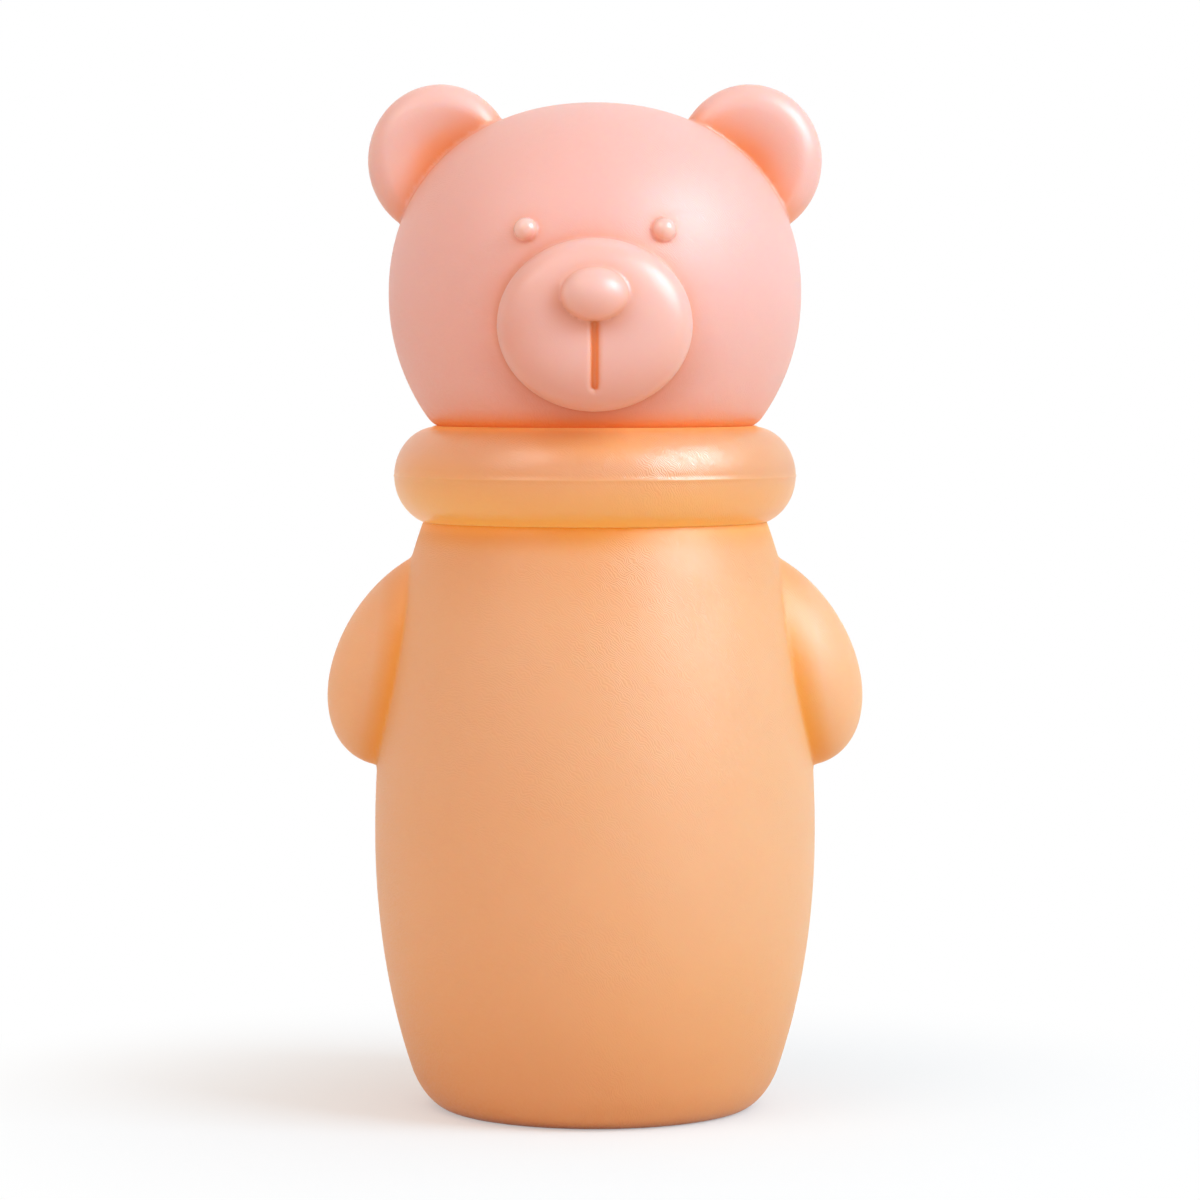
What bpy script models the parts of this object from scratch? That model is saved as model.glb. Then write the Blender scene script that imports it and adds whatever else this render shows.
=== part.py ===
"""Squeeze feeding bottle in the shape of a small bear.

A soft silicone bottle with two moulded arms carries a feeding spoon on a screw collar.
The bear's head is a soft dust cover, pushed over a spigot on the collar.
Metres, +Z up. The face looks along -Y, and the origin is the centre of the foot.
"""

import math

import bmesh
import bpy
from mathutils import Matrix

# Clearances and working values
FIT_GAP = 0.0003
OVERRUN = 0.0020
WELD = 0.0000010
TURN_STEPS = 36
BORE_STEPS = 24
ROUND_STEPS = 2
SHARP_ANGLE = math.radians(35)

# Squeeze bottle
NECK_RADIUS = 0.0200
NECK_WALL = 0.0030
NECK_LENGTH = 0.0063
NECK_EDGE = 0.0006
SHOULDER_LEDGE = 0.0044
SHOULDER_EDGE = 0.0008
BELLY_SWELL = 0.0066
BELLY_HEIGHT = 0.0386
SHOULDER_RISE = 0.0431
FOOT_INSET = 0.0072
FOOT_ROUND = 0.0045
FOOT_SPREAD = 0.0025
BODY_WALL = 0.0024
BODY_FLOOR = 0.0030
FLOOR_ROUND = 0.0030
INNER_SHOULDER_DROP = 0.0037
THROAT_DROP = 0.0007
BELLY_STEPS = 7

# Arms moulded on the bottle: tilted lobes, solid down to the bottle's inner wall
ARM_HALF_LENGTH = 0.0168
ARM_HALF_WIDTH = 0.0114
ARM_HALF_DEPTH = 0.0106
ARM_REACH = 0.0066
ARM_TOP_DROP = 0.0028
ARM_TILT = math.radians(34)
ARM_STEPS = 20

# Hard liner pressed into the soft neck
LINER_WALL = 0.0015
LINER_LENGTH = 0.0080
LINER_FLANGE = 0.0012
LINER_EDGE = 0.0004
LINER_BEAD = 0.0008
LINER_BEAD_HALF = 0.0008
LINER_BEAD_DROP = 0.0028

# Seal ring between the liner's flange and the nozzle's flange
SEAL_THICKNESS = 0.0012
SEAL_INSET = 0.0004
SEAL_EDGE = 0.0004

# Nozzle: a flange with a plug skirt below it and a dome and a tube above it
NOZZLE_FLANGE = 0.0012
NOZZLE_WALL = 0.0014
NOZZLE_EDGE = 0.0004
SKIRT_LENGTH = 0.0050
DOME_RISE = 0.0055
DOME_ROOM = 0.0045
TUBE_RADIUS = 0.0044
TUBE_BORE = 0.0024
TUBE_LENGTH = 0.0080
TUBE_BARB = 0.0003
TUBE_BARB_HALF = 0.0009
TUBE_BARB_DROP = 0.0026

# Slit valve and the ring that holds it in the nozzle
VALVE_SEAT_DROP = 0.0006
VALVE_FLANGE = 0.0012
VALVE_RIM_WIDTH = 0.0036
VALVE_SKIN = 0.0007
VALVE_RISE = 0.0022
VALVE_SLIT_LENGTH = 0.0080
VALVE_SLIT_WIDTH = 0.0003
RETAINER_HEIGHT = 0.0018
RETAINER_WIDTH = 0.0038
RETAINER_BEAD = 0.0005
RETAINER_BEAD_HALF = 0.0004
RETAINER_EDGE = 0.0003

# Collar: a hard threaded ring inside a soft sleeve
THREAD_DEPTH = 0.0016
COLLAR_WALL = 0.0016
COLLAR_LIP = 0.0015
COLLAR_EDGE = 0.0003
COLLAR_RIB = 0.0006
COLLAR_RIB_HALF = 0.0005
COLLAR_RIB_SHARES = (0.34, 0.66)
COLLAR_SNAP = 0.0003
COLLAR_SNAP_HALF = 0.0002
SPIGOT_INSET = 0.0010
SPIGOT_WALL = 0.0020
SPIGOT_LENGTH = 0.0055
GRIP_BEAD = 0.0005
GRIP_BEAD_HALF = 0.0005
GRIP_BEAD_DROP = 0.0016
SLEEVE_FLAP = 0.0012
SLEEVE_INSET = 0.0012
SLEEVE_HALF_WIDTH = 0.0062
SLEEVE_STEPS = 12
FLASH_HEIGHT = 0.00015
FLASH_HALF = 0.0002

# Spoon: a sleeve on the nozzle's tube, a stem and a bowl
SPOON_SLEEVE_WALL = 0.0022
SPOON_STEM_RADIUS = 0.0042
SPOON_STEM_FLATTEN_SHARE = 0.80
SPOON_CHANNEL = 0.0017
SPOON_TIP_ROOM = 0.0030
BOWL_HALF_LENGTH = 0.0120
BOWL_HALF_WIDTH = 0.0108
BOWL_DEPTH = 0.0064
BOWL_RIM_LIFT = 0.0006
BOWL_WALL = 0.0014
BOWL_FORWARD = 0.0015
BOWL_STEPS = 20
STEM_BURIED_SHARE = 0.30

# Head: the dust cover, soft, open below
HEAD_RIM_WALL = 0.0030
HEAD_RIM_EDGE = 0.0007
HEAD_SWELL = 0.0061
HEAD_LOWER_HEIGHT = 0.0181
HEAD_UPPER_HEIGHT = 0.0268
HEAD_WALL = 0.0025
HEAD_FULLNESS = 2.15
HEAD_SKIRT_LENGTH = 0.0048
HEAD_SKIRT_TAPER = 0.0020
HEAD_STEPS = 8
CROWN_STEPS = 7

# Ears: turned about a level axis, with a dish in front
EAR_RADIUS = 0.00975
EAR_HALF_HEIGHT = 0.0102
EAR_RIM_RADIUS = 0.0033
EAR_DISH_SHARE = 0.80
EAR_STANDOFF = 0.0007
EAR_SET_BACK = 0.0015
EAR_PLACE = math.radians(42.6)
EAR_STEPS = 20
EAR_RIM_STEPS = 7
EAR_DISH_STEPS = 3

# Face
MUZZLE_HALF_WIDTH = 0.0131
MUZZLE_HALF_HEIGHT = 0.0118
MUZZLE_REACH = 0.0060
MUZZLE_ROOT = 0.0066
MUZZLE_FULLNESS = 3.0
MUZZLE_RIM_GAP = 0.0017
MUZZLE_STEPS = 28
NOSE_HALF_WIDTH = 0.0045
NOSE_HALF_HEIGHT = 0.0036
NOSE_HALF_DEPTH = 0.0033
NOSE_PLACE_SHARE = 0.35
NOSE_STEPS = 18
EYE_RADIUS = 0.0017
EYE_SPREAD = 0.0092
EYE_RISE = 0.0011
EYE_SUNK_SHARE = 0.30
EYE_STEPS = 12
GROOVE_WIDTH = 0.0010
GROOVE_DEPTH = 0.0012
GROOVE_END_SHARE = 0.73

# Radii that follow from the neck, going inwards and then outwards
neck_bore = NECK_RADIUS - NECK_WALL
liner_radius = neck_bore - FIT_GAP
liner_bore = liner_radius - LINER_WALL
liner_bead_radius = liner_radius + LINER_BEAD
skirt_radius = liner_bore - FIT_GAP
skirt_bore = skirt_radius - NOZZLE_WALL
shoulder_radius = NECK_RADIUS + SHOULDER_LEDGE
belly_radius = shoulder_radius + BELLY_SWELL
foot_radius = belly_radius - FOOT_INSET
collar_bore = NECK_RADIUS + THREAD_DEPTH
collar_radius = collar_bore + COLLAR_WALL
nozzle_radius = collar_bore - FIT_GAP
snap_radius = nozzle_radius - COLLAR_SNAP
sleeve_centre = collar_radius - SLEEVE_INSET
spigot_radius = NECK_RADIUS - SPIGOT_INSET
spigot_bore = spigot_radius - SPIGOT_WALL
cover_bore = spigot_radius + GRIP_BEAD + FIT_GAP
head_rim_radius = cover_bore + HEAD_RIM_WALL
head_radius = head_rim_radius + HEAD_SWELL

# Heights that follow from the foot, going up the stack
shoulder_height = BELLY_HEIGHT + SHOULDER_RISE
neck_rim = shoulder_height + NECK_LENGTH
liner_flange_low = neck_rim + FIT_GAP
liner_flange_top = liner_flange_low + LINER_FLANGE
seal_low = liner_flange_top + FIT_GAP
seal_top = seal_low + SEAL_THICKNESS
nozzle_low = seal_top + FIT_GAP
nozzle_top = nozzle_low + NOZZLE_FLANGE
lip_low = nozzle_top + FIT_GAP
lip_top = lip_low + COLLAR_LIP
spigot_top = lip_top + SPIGOT_LENGTH
sleeve_low = shoulder_height + FIT_GAP
sleeve_top = lip_top + FIT_GAP + SLEEVE_FLAP
sleeve_middle = (sleeve_low + sleeve_top) / 2
collar_low = sleeve_low + SLEEVE_FLAP + FIT_GAP
head_rim = sleeve_top + FIT_GAP
head_middle = head_rim + HEAD_LOWER_HEIGHT
dome_top = nozzle_top + DOME_RISE
tube_top = dome_top + TUBE_LENGTH
valve_top = nozzle_top - VALVE_SEAT_DROP - FIT_GAP
valve_low = valve_top - VALVE_FLANGE
retainer_top = valve_low - FIT_GAP
retainer_low = retainer_top - RETAINER_HEIGHT
retainer_middle = (retainer_low + retainer_top) / 2
bead_height = neck_rim - LINER_BEAD_DROP
snap_height = nozzle_low - FIT_GAP - (collar_bore - snap_radius) - COLLAR_SNAP_HALF
grip_height = spigot_top - GRIP_BEAD_DROP


def clear_scene():
    """Takes every object out of the file, so that the model starts from nothing."""
    for thing in list(bpy.data.objects):
        bpy.data.objects.remove(thing)


def material(name, colour, roughness):
    """A Principled material with one colour and one roughness."""
    made = bpy.data.materials.new(name)
    made.use_nodes = True
    shader = made.node_tree.nodes["Principled BSDF"]
    shader.inputs["Base Color"].default_value = (*colour, 1)
    shader.inputs["Roughness"].default_value = roughness
    shader.inputs["Metallic"].default_value = 0
    return made


# Outlines: lists of (radius, height) points


def bend(start, corner, end, steps):
    """Points on the curve that leaves start towards corner and arrives at end from it."""
    points = []
    for step in range(steps + 1):
        t = step / steps
        points.append(tuple(
            (1 - t) ** 2 * a + 2 * t * (1 - t) * b + t ** 2 * c
            for a, b, c in zip(start, corner, end)
        ))
    return points


def towards(point, other, distance):
    """The point at most this far from point on the way to other, and at most half way."""
    length = math.dist(point, other)
    share = min(distance / length, 1 / 2)
    return tuple(a + (b - a) * share for a, b in zip(point, other))


def rounded(corners, closed=True, steps=1):
    """The outline through corners of (radius, height, size of rounding)."""
    points = []
    for i, (radius, height, size) in enumerate(corners):
        corner = (radius, height)
        at_end = not closed and i in (0, len(corners) - 1)
        if size == 0 or at_end:
            points.append(corner)
            continue
        before = corners[i - 1][:2]
        after = corners[(i + 1) % len(corners)][:2]
        points += bend(
            towards(corner, before, size), corner, towards(corner, after, size), steps
        )
    return points


def curve_height(full, end, rise):
    """Semi-height of the ellipse that narrows from radius full to radius end over a rise."""
    return rise / math.sqrt(1 - (end / full) ** 2)


def body_radius(height):
    """Outer radius of the bottle's belly at a height: half an ellipse below the belly, half above."""
    if height < BELLY_HEIGHT:
        reach = curve_height(belly_radius, foot_radius, BELLY_HEIGHT)
    else:
        reach = curve_height(belly_radius, shoulder_radius, SHOULDER_RISE)
    return belly_radius * math.sqrt(1 - ((height - BELLY_HEIGHT) / reach) ** 2)


def head_profile(height):
    """Outer radius of the head at a height: an ellipse below its middle, a fuller curve above."""
    rise = height - head_middle
    if rise < 0:
        reach = curve_height(head_radius, head_rim_radius, HEAD_LOWER_HEIGHT)
        return head_radius * math.sqrt(1 - (rise / reach) ** 2)
    share = min(rise / HEAD_UPPER_HEIGHT, 1)
    return head_radius * (1 - share ** HEAD_FULLNESS) ** (1 / HEAD_FULLNESS)


def spaced(low, high, steps, ease=1):
    """Heights from low to high. An ease over 1 packs them towards high."""
    return [low + (high - low) * (1 - (1 - i / steps) ** ease) for i in range(steps + 1)]


def foot_curve():
    """The rounding from the flat of the foot up into the belly's curve."""
    corner = body_radius(0)
    return bend(
        (corner - FOOT_SPREAD, 0), (corner, 0), (body_radius(FOOT_ROUND), FOOT_ROUND),
        2 * ROUND_STEPS,
    )


def crown_curve(full, rise, base):
    """The head's top, from its widest ring to the axis, with even turns along the curve."""
    points = []
    for step in range(CROWN_STEPS + 1):
        turn = math.pi / 2 * step / CROWN_STEPS
        points.append((
            full * math.cos(turn) ** (2 / HEAD_FULLNESS) if step < CROWN_STEPS else 0,
            base + rise * math.sin(turn) ** (2 / HEAD_FULLNESS),
        ))
    return points


def bead(radius, height, out, half):
    """Four points of a bead that stands out from a wall, listed upwards."""
    return [
        (radius, height - half - abs(out), 0),
        (radius + out, height - half, 0),
        (radius + out, height + half, 0),
        (radius, height + half + abs(out), 0),
    ]


# Solids


def finished(name, shape, look=None):
    """Makes the object of a bmesh, shaded smooth apart from its sharp edges."""
    bmesh.ops.remove_doubles(shape, verts=shape.verts, dist=WELD)
    bmesh.ops.recalc_face_normals(shape, faces=shape.faces)
    mesh = bpy.data.meshes.new(name)
    shape.to_mesh(mesh)
    shape.free()
    mesh.shade_smooth()
    mesh.set_sharp_from_angle(angle=SHARP_ANGLE)
    thing = bpy.data.objects.new(name, mesh)
    bpy.context.scene.collection.objects.link(thing)
    if look:
        mesh.materials.append(look)
    return thing


def turned(name, outline, look=None, steps=TURN_STEPS):
    """A solid turned about Z. The outline is a loop, or runs from the axis to the axis."""
    shape = bmesh.new()
    ring = [shape.verts.new((radius, 0, height)) for radius, height in outline]
    edges = [shape.edges.new(pair) for pair in zip(ring, ring[1:])]
    if outline[0][0] > 0:
        edges.append(shape.edges.new((ring[-1], ring[0])))
    bmesh.ops.spin(
        shape, geom=ring + edges, cent=(0, 0, 0), axis=(0, 0, 1),
        angle=2 * math.pi, steps=steps, use_merge=True,
    )
    return finished(name, shape, look)


def ellipsoid(name, half_sizes, steps):
    """A ball stretched to three half sizes along X, Y and Z."""
    shape = bmesh.new()
    bmesh.ops.create_uvsphere(
        shape, u_segments=steps, v_segments=steps // 2, radius=1,
        matrix=Matrix.Diagonal((*half_sizes, 1)),
    )
    return finished(name, shape)


def helper(thing):
    """Marks an object that only cuts or joins, so that it isn't a piece of its own."""
    thing.hide_render = True
    thing.display_type = "WIRE"
    return thing


def combine(thing, tool, operation):
    """Joins the tool to the piece, or cuts it away."""
    modifier = thing.modifiers.new(f"{operation.lower()} {tool.name}", "BOOLEAN")
    modifier.operation = operation
    modifier.solver = "EXACT"
    modifier.object = helper(tool)
    return thing


# The squeeze bottle


def arm(side):
    """One arm, a lobe that leans outwards and down. Side is 1 or -1 along X."""
    lobe = ellipsoid(
        f"arm_{side}", (ARM_HALF_WIDTH, ARM_HALF_DEPTH, ARM_HALF_LENGTH), ARM_STEPS
    )
    across = math.hypot(ARM_HALF_LENGTH * math.sin(ARM_TILT), ARM_HALF_WIDTH * math.cos(ARM_TILT))
    upward = math.hypot(ARM_HALF_LENGTH * math.cos(ARM_TILT), ARM_HALF_WIDTH * math.sin(ARM_TILT))
    lobe.location = (
        side * (belly_radius + ARM_REACH - across), 0, shoulder_height - ARM_TOP_DROP - upward
    )
    lobe.rotation_euler = (0, -side * ARM_TILT, 0)
    return lobe


def bottle_cavity():
    """The inside of the bottle with its neck, as a cutter that comes out of the mouth."""
    floor_radius = body_radius(BODY_FLOOR) - BODY_WALL
    inner_top = shoulder_height - INNER_SHOULDER_DROP
    wall = [
        (body_radius(height) - BODY_WALL, height, 0)
        for height in spaced(BODY_FLOOR + FLOOR_ROUND, inner_top, BELLY_STEPS, 1.2)
    ]
    groove = bead(
        neck_bore, bead_height, liner_bead_radius + FIT_GAP - neck_bore, LINER_BEAD_HALF + FIT_GAP
    )
    corners = [
        (0, BODY_FLOOR, 0),
        (floor_radius, BODY_FLOOR, FLOOR_ROUND),
        *wall,
        (neck_bore, shoulder_height - THROAT_DROP, 0),
        *groove,
        (neck_bore, neck_rim + OVERRUN, 0),
        (0, neck_rim + OVERRUN, 0),
    ]
    return turned("bottle_cavity", rounded(corners, closed=False), steps=BORE_STEPS)


def squeeze_bottle(look):
    """The soft bottle: foot, belly, shoulder and neck in one skin, with its arms."""
    belly = [(body_radius(z), z) for z in spaced(FOOT_ROUND, BELLY_HEIGHT, BELLY_STEPS)[1:]]
    rise = [
        (body_radius(z), z)
        for z in spaced(BELLY_HEIGHT, shoulder_height - SHOULDER_EDGE, BELLY_STEPS, 1.3)[1:]
    ]
    top = rounded(
        [
            (*rise[-1], 0),
            (shoulder_radius, shoulder_height, SHOULDER_EDGE),
            (NECK_RADIUS, shoulder_height, 0),
            (NECK_RADIUS, neck_rim, NECK_EDGE),
            (0, neck_rim, 0),
        ],
        closed=False,
        steps=ROUND_STEPS,
    )
    outline = [(0, 0), *foot_curve(), *belly, *rise[:-1], *top]
    bottle = turned("squeeze_bottle", outline, look)
    for side in (1, -1):
        combine(bottle, arm(side), "UNION")
    return combine(bottle, bottle_cavity(), "DIFFERENCE")


# What the neck and the collar hold


def neck_liner(look):
    """The hard sleeve that keeps the soft neck round, with a bead in the neck's groove."""
    low = liner_flange_top - LINER_LENGTH
    corners = [
        (liner_bore, low, LINER_EDGE),
        (liner_radius, low, LINER_EDGE),
        *bead(liner_radius, bead_height, LINER_BEAD, LINER_BEAD_HALF),
        (liner_radius, liner_flange_low, 0),
        (NECK_RADIUS, liner_flange_low, 0),
        (NECK_RADIUS, liner_flange_top, LINER_EDGE),
        (liner_bore, liner_flange_top, LINER_EDGE),
    ]
    return turned("neck_liner", rounded(corners), look, BORE_STEPS)


def neck_seal(look):
    """The soft ring that the collar squeezes between the liner and the nozzle."""
    inner = liner_bore + SEAL_INSET
    outer = NECK_RADIUS - SEAL_INSET
    corners = [
        (inner, seal_low, SEAL_EDGE),
        (outer, seal_low, SEAL_EDGE),
        (outer, seal_top, SEAL_EDGE),
        (inner, seal_top, SEAL_EDGE),
    ]
    return turned("neck_seal", rounded(corners), look, BORE_STEPS)


def nozzle_base(look):
    """Flange, plug skirt, dome and barbed tube in one moulding, with a way through."""
    dome_foot = spigot_bore - DOME_ROOM
    seat_height = valve_top + FIT_GAP
    seat_radius = skirt_bore - VALVE_RIM_WIDTH
    barb_height = tube_top - TUBE_BARB_DROP
    groove = bead(skirt_bore, retainer_middle, RETAINER_BEAD, RETAINER_BEAD_HALF + FIT_GAP)
    corners = [
        (TUBE_BORE, tube_top, 0),
        (TUBE_BORE, dome_top, 0),
        (seat_radius, seat_height + FIT_GAP, 0),
        (seat_radius, seat_height, 0),
        (skirt_bore, seat_height, 0),
        *reversed(groove),
        (skirt_bore, nozzle_low - SKIRT_LENGTH, NOZZLE_EDGE),
        (skirt_radius, nozzle_low - SKIRT_LENGTH, NOZZLE_EDGE),
        (skirt_radius, nozzle_low, 0),
        (nozzle_radius, nozzle_low, 0),
        (nozzle_radius, nozzle_top, NOZZLE_EDGE),
        (dome_foot, nozzle_top, 0),
        (TUBE_RADIUS + NOZZLE_EDGE, dome_top, NOZZLE_EDGE),
        (TUBE_RADIUS, dome_top, 0),
        *bead(TUBE_RADIUS, barb_height, TUBE_BARB, TUBE_BARB_HALF),
        (TUBE_RADIUS, tube_top, NOZZLE_EDGE),
    ]
    return turned("nozzle_base", rounded(corners), look, BORE_STEPS)


def flow_valve(look):
    """The soft valve: a flange round a thin cap with a crossed slit, shut until it is squeezed."""
    outer = skirt_bore - FIT_GAP
    cap_radius = skirt_bore - VALVE_RIM_WIDTH - FIT_GAP
    cap_top = valve_top + VALVE_RISE
    corners = [
        (0, cap_top, 0),
        (cap_radius / 2, cap_top, VALVE_SKIN),
        (cap_radius, valve_top, 0),
        (outer, valve_top, 0),
        (outer, valve_low, 0),
        (cap_radius - VALVE_SKIN, valve_low, 0),
        (cap_radius / 2 - VALVE_SKIN / 2, cap_top - VALVE_SKIN, VALVE_SKIN),
        (0, cap_top - VALVE_SKIN, 0),
    ]
    valve = turned("flow_valve", rounded(corners, closed=False), look, BORE_STEPS)
    for name, turn in (("slit_across", 0), ("slit_along", math.pi / 2)):
        shape = bmesh.new()
        bmesh.ops.create_cube(
            shape, size=1,
            matrix=Matrix.Diagonal((VALVE_SLIT_LENGTH, VALVE_SLIT_WIDTH, 2 * OVERRUN, 1)),
        )
        slit = finished(name, shape)
        slit.location = (0, 0, cap_top)
        slit.rotation_euler = (0, 0, turn)
        combine(valve, slit, "DIFFERENCE")
    return valve


def valve_retainer(look):
    """The snap ring under the valve."""
    outer = skirt_bore - FIT_GAP
    inner = outer - RETAINER_WIDTH
    corners = [
        (inner, retainer_low, RETAINER_EDGE),
        (outer, retainer_low, RETAINER_EDGE),
        *bead(outer, retainer_middle, RETAINER_BEAD, RETAINER_BEAD_HALF - FIT_GAP),
        (outer, retainer_top, 0),
        (inner, retainer_top, RETAINER_EDGE),
    ]
    return turned("valve_retainer", rounded(corners), look, BORE_STEPS)


# The collar


def rib_heights():
    """Middle heights of the ribs that key the sleeve to the collar."""
    return [collar_low + share * (lip_top - collar_low) for share in COLLAR_RIB_SHARES]


def collar_ring(look):
    """The hard screw ring: a bore round the neck, a lip and a snap bead that keep the nozzle
    in it, and a spigot for the head."""
    ribs = []
    for height in rib_heights():
        ribs += [
            (collar_radius, height - COLLAR_RIB_HALF, 0),
            (collar_radius + COLLAR_RIB, height - COLLAR_RIB_HALF, 0),
            (collar_radius + COLLAR_RIB, height + COLLAR_RIB_HALF, 0),
            (collar_radius, height + COLLAR_RIB_HALF, 0),
        ]
    corners = [
        (spigot_bore, spigot_top, COLLAR_EDGE),
        (spigot_bore, lip_low, COLLAR_EDGE),
        (collar_bore, lip_low, 0),
        *reversed(bead(collar_bore, snap_height, snap_radius - collar_bore, COLLAR_SNAP_HALF)),
        (collar_bore, collar_low, COLLAR_EDGE),
        (collar_radius, collar_low, 0),
        *ribs,
        (collar_radius, lip_top, 0),
        (spigot_radius, lip_top, 0),
        *bead(spigot_radius, grip_height, GRIP_BEAD, GRIP_BEAD_HALF),
        (spigot_radius, spigot_top, COLLAR_EDGE),
    ]
    return turned("collar_ring", rounded(corners), look, BORE_STEPS)


def collar_sleeve(look):
    """The soft round ring stretched over the collar, with the thin flash of its mould."""
    half_height = (sleeve_top - sleeve_low) / 2
    bulge = []
    for step in range(SLEEVE_STEPS + 1):
        turn = math.pi * (1 / 2 - step / SLEEVE_STEPS)
        radius = sleeve_centre + SLEEVE_HALF_WIDTH * math.cos(turn)
        bulge.append((radius, sleeve_middle + half_height * math.sin(turn), 0))
    equator = sleeve_centre + SLEEVE_HALF_WIDTH
    bulge[SLEEVE_STEPS // 2:SLEEVE_STEPS // 2 + 1] = [
        (equator, sleeve_middle + FLASH_HALF, 0),
        (equator + FLASH_HEIGHT, sleeve_middle, 0),
        (equator, sleeve_middle - FLASH_HALF, 0),
    ]
    inner = collar_radius + FIT_GAP
    slots = []
    for height in rib_heights():
        half = COLLAR_RIB_HALF + FIT_GAP
        slots += [
            (inner, height - half, 0),
            (inner + COLLAR_RIB, height - half, 0),
            (inner + COLLAR_RIB, height + half, 0),
            (inner, height + half, 0),
        ]
    corners = [
        (spigot_radius + FIT_GAP, sleeve_top, 0),
        *bulge,
        (collar_bore, sleeve_low, 0),
        (collar_bore, sleeve_low + SLEEVE_FLAP, 0),
        (inner, sleeve_low + SLEEVE_FLAP, 0),
        *slots,
        (inner, lip_top + FIT_GAP, 0),
        (spigot_radius + FIT_GAP, lip_top + FIT_GAP, 0),
    ]
    return turned("collar_sleeve", rounded(corners), look)


# The spoon


def stem(low, top, bowl_foot):
    """The spoon's outside from its sleeve up to the bowl: rings that narrow and flatten."""
    sleeve_radius = TUBE_RADIUS + TUBE_BARB + FIT_GAP + SPOON_SLEEVE_WALL
    flat = SPOON_STEM_RADIUS * SPOON_STEM_FLATTEN_SHARE
    neck = bend(
        (sleeve_radius, (low + top) / 2),
        (sleeve_radius, (top + bowl_foot) / 2),
        (SPOON_STEM_RADIUS, bowl_foot),
        2 * ROUND_STEPS,
    )
    rings = [
        (low, sleeve_radius, sleeve_radius),
        *[(height, radius, radius) for radius, height in neck],
        (bowl_foot + BOWL_HALF_LENGTH * STEM_BURIED_SHARE, SPOON_STEM_RADIUS, flat / 2),
    ]
    shape = bmesh.new()
    loops = []
    for height, half_width, half_depth in rings:
        made = bmesh.ops.create_circle(
            shape, segments=BOWL_STEPS, radius=1,
            matrix=Matrix.Translation((0, 0, height)) @ Matrix.Diagonal((half_width, half_depth, 1, 1)),
        )
        loops.append(made["verts"])
    edges = [{e for v in loop for e in v.link_edges} for loop in loops]
    for lower, upper in zip(edges, edges[1:]):
        bmesh.ops.bridge_loops(shape, edges=list(lower | upper))
    for loop in (loops[0], loops[-1]):
        shape.faces.new(loop)
    return finished("spoon_stem", shape)


def soft_spoon(look):
    """Sleeve, stem and bowl in one soft moulding, with a channel up into the bowl."""
    low = dome_top + FIT_GAP
    roof = tube_top + FIT_GAP
    tip = head_middle + HEAD_UPPER_HEIGHT - HEAD_WALL - SPOON_TIP_ROOM
    middle = tip - BOWL_HALF_LENGTH
    place = (0, -BOWL_FORWARD, middle)

    bowl = ellipsoid("soft_spoon", (BOWL_HALF_WIDTH, BOWL_DEPTH, BOWL_HALF_LENGTH), BOWL_STEPS)
    bowl.data.materials.append(look)
    bowl.data.transform(Matrix.Translation(place))
    front = bmesh.new()
    side = 3 * BOWL_HALF_LENGTH
    bmesh.ops.create_cube(
        front, size=1,
        matrix=Matrix.Translation((0, -side / 2 - BOWL_FORWARD - BOWL_RIM_LIFT, middle))
        @ Matrix.Diagonal((side, side, side, 1)),
    )
    combine(bowl, finished("bowl_front", front), "DIFFERENCE")
    combine(bowl, stem(low, roof, middle - BOWL_HALF_LENGTH), "UNION")

    scoop = ellipsoid(
        "bowl_scoop",
        (BOWL_HALF_WIDTH - BOWL_WALL, BOWL_DEPTH - BOWL_WALL, BOWL_HALF_LENGTH - BOWL_WALL),
        BOWL_STEPS,
    )
    scoop.location = place
    combine(bowl, scoop, "DIFFERENCE")

    bore = TUBE_RADIUS + TUBE_BARB + FIT_GAP
    barb_height = tube_top - TUBE_BARB_DROP
    channel_top = middle - BOWL_HALF_LENGTH * (1 - STEM_BURIED_SHARE)
    corners = [
        (0, low - OVERRUN, 0),
        (bore, low - OVERRUN, 0),
        *bead(bore, barb_height, TUBE_BARB, TUBE_BARB_HALF),
        (bore, roof, 0),
        (SPOON_CHANNEL, roof, 0),
        (SPOON_CHANNEL, channel_top, 0),
        (0, channel_top, 0),
    ]
    channel = turned("spoon_channel", rounded(corners, closed=False), steps=BOWL_STEPS)
    return combine(bowl, channel, "DIFFERENCE")


# The head


def ear(side):
    """One ear: a thick round rim with a dish in front. Side is 1 or -1 along X."""
    rim = EAR_RADIUS - EAR_RIM_RADIUS
    dish_depth = EAR_RIM_RADIUS * EAR_DISH_SHARE
    dish = []
    for step in range(EAR_DISH_STEPS):
        share = step / EAR_DISH_STEPS
        sunk = dish_depth * (1 + math.cos(math.pi * share)) / 2
        dish.append((rim * share, EAR_RIM_RADIUS - sunk))
    edge = []
    for step in range(EAR_RIM_STEPS + 1):
        turn = math.pi * (1 / 2 - step / EAR_RIM_STEPS)
        edge.append((rim + EAR_RIM_RADIUS * math.cos(turn), EAR_RIM_RADIUS * math.sin(turn)))
    made = turned(f"ear_{side}", [*dish, *edge, (0, -EAR_RIM_RADIUS)], steps=EAR_STEPS)
    made.data.transform(Matrix.Diagonal((1, EAR_HALF_HEIGHT / EAR_RADIUS, 1, 1)))

    power = 2 / HEAD_FULLNESS
    across = head_radius * math.cos(EAR_PLACE) ** power
    upward = HEAD_UPPER_HEIGHT * math.sin(EAR_PLACE) ** power
    out = 1 + EAR_STANDOFF / math.hypot(across, upward)
    made.location = (side * across * out, EAR_SET_BACK, head_middle + upward * out)
    made.rotation_euler = (math.pi / 2, 0, 0)
    return made


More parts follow.
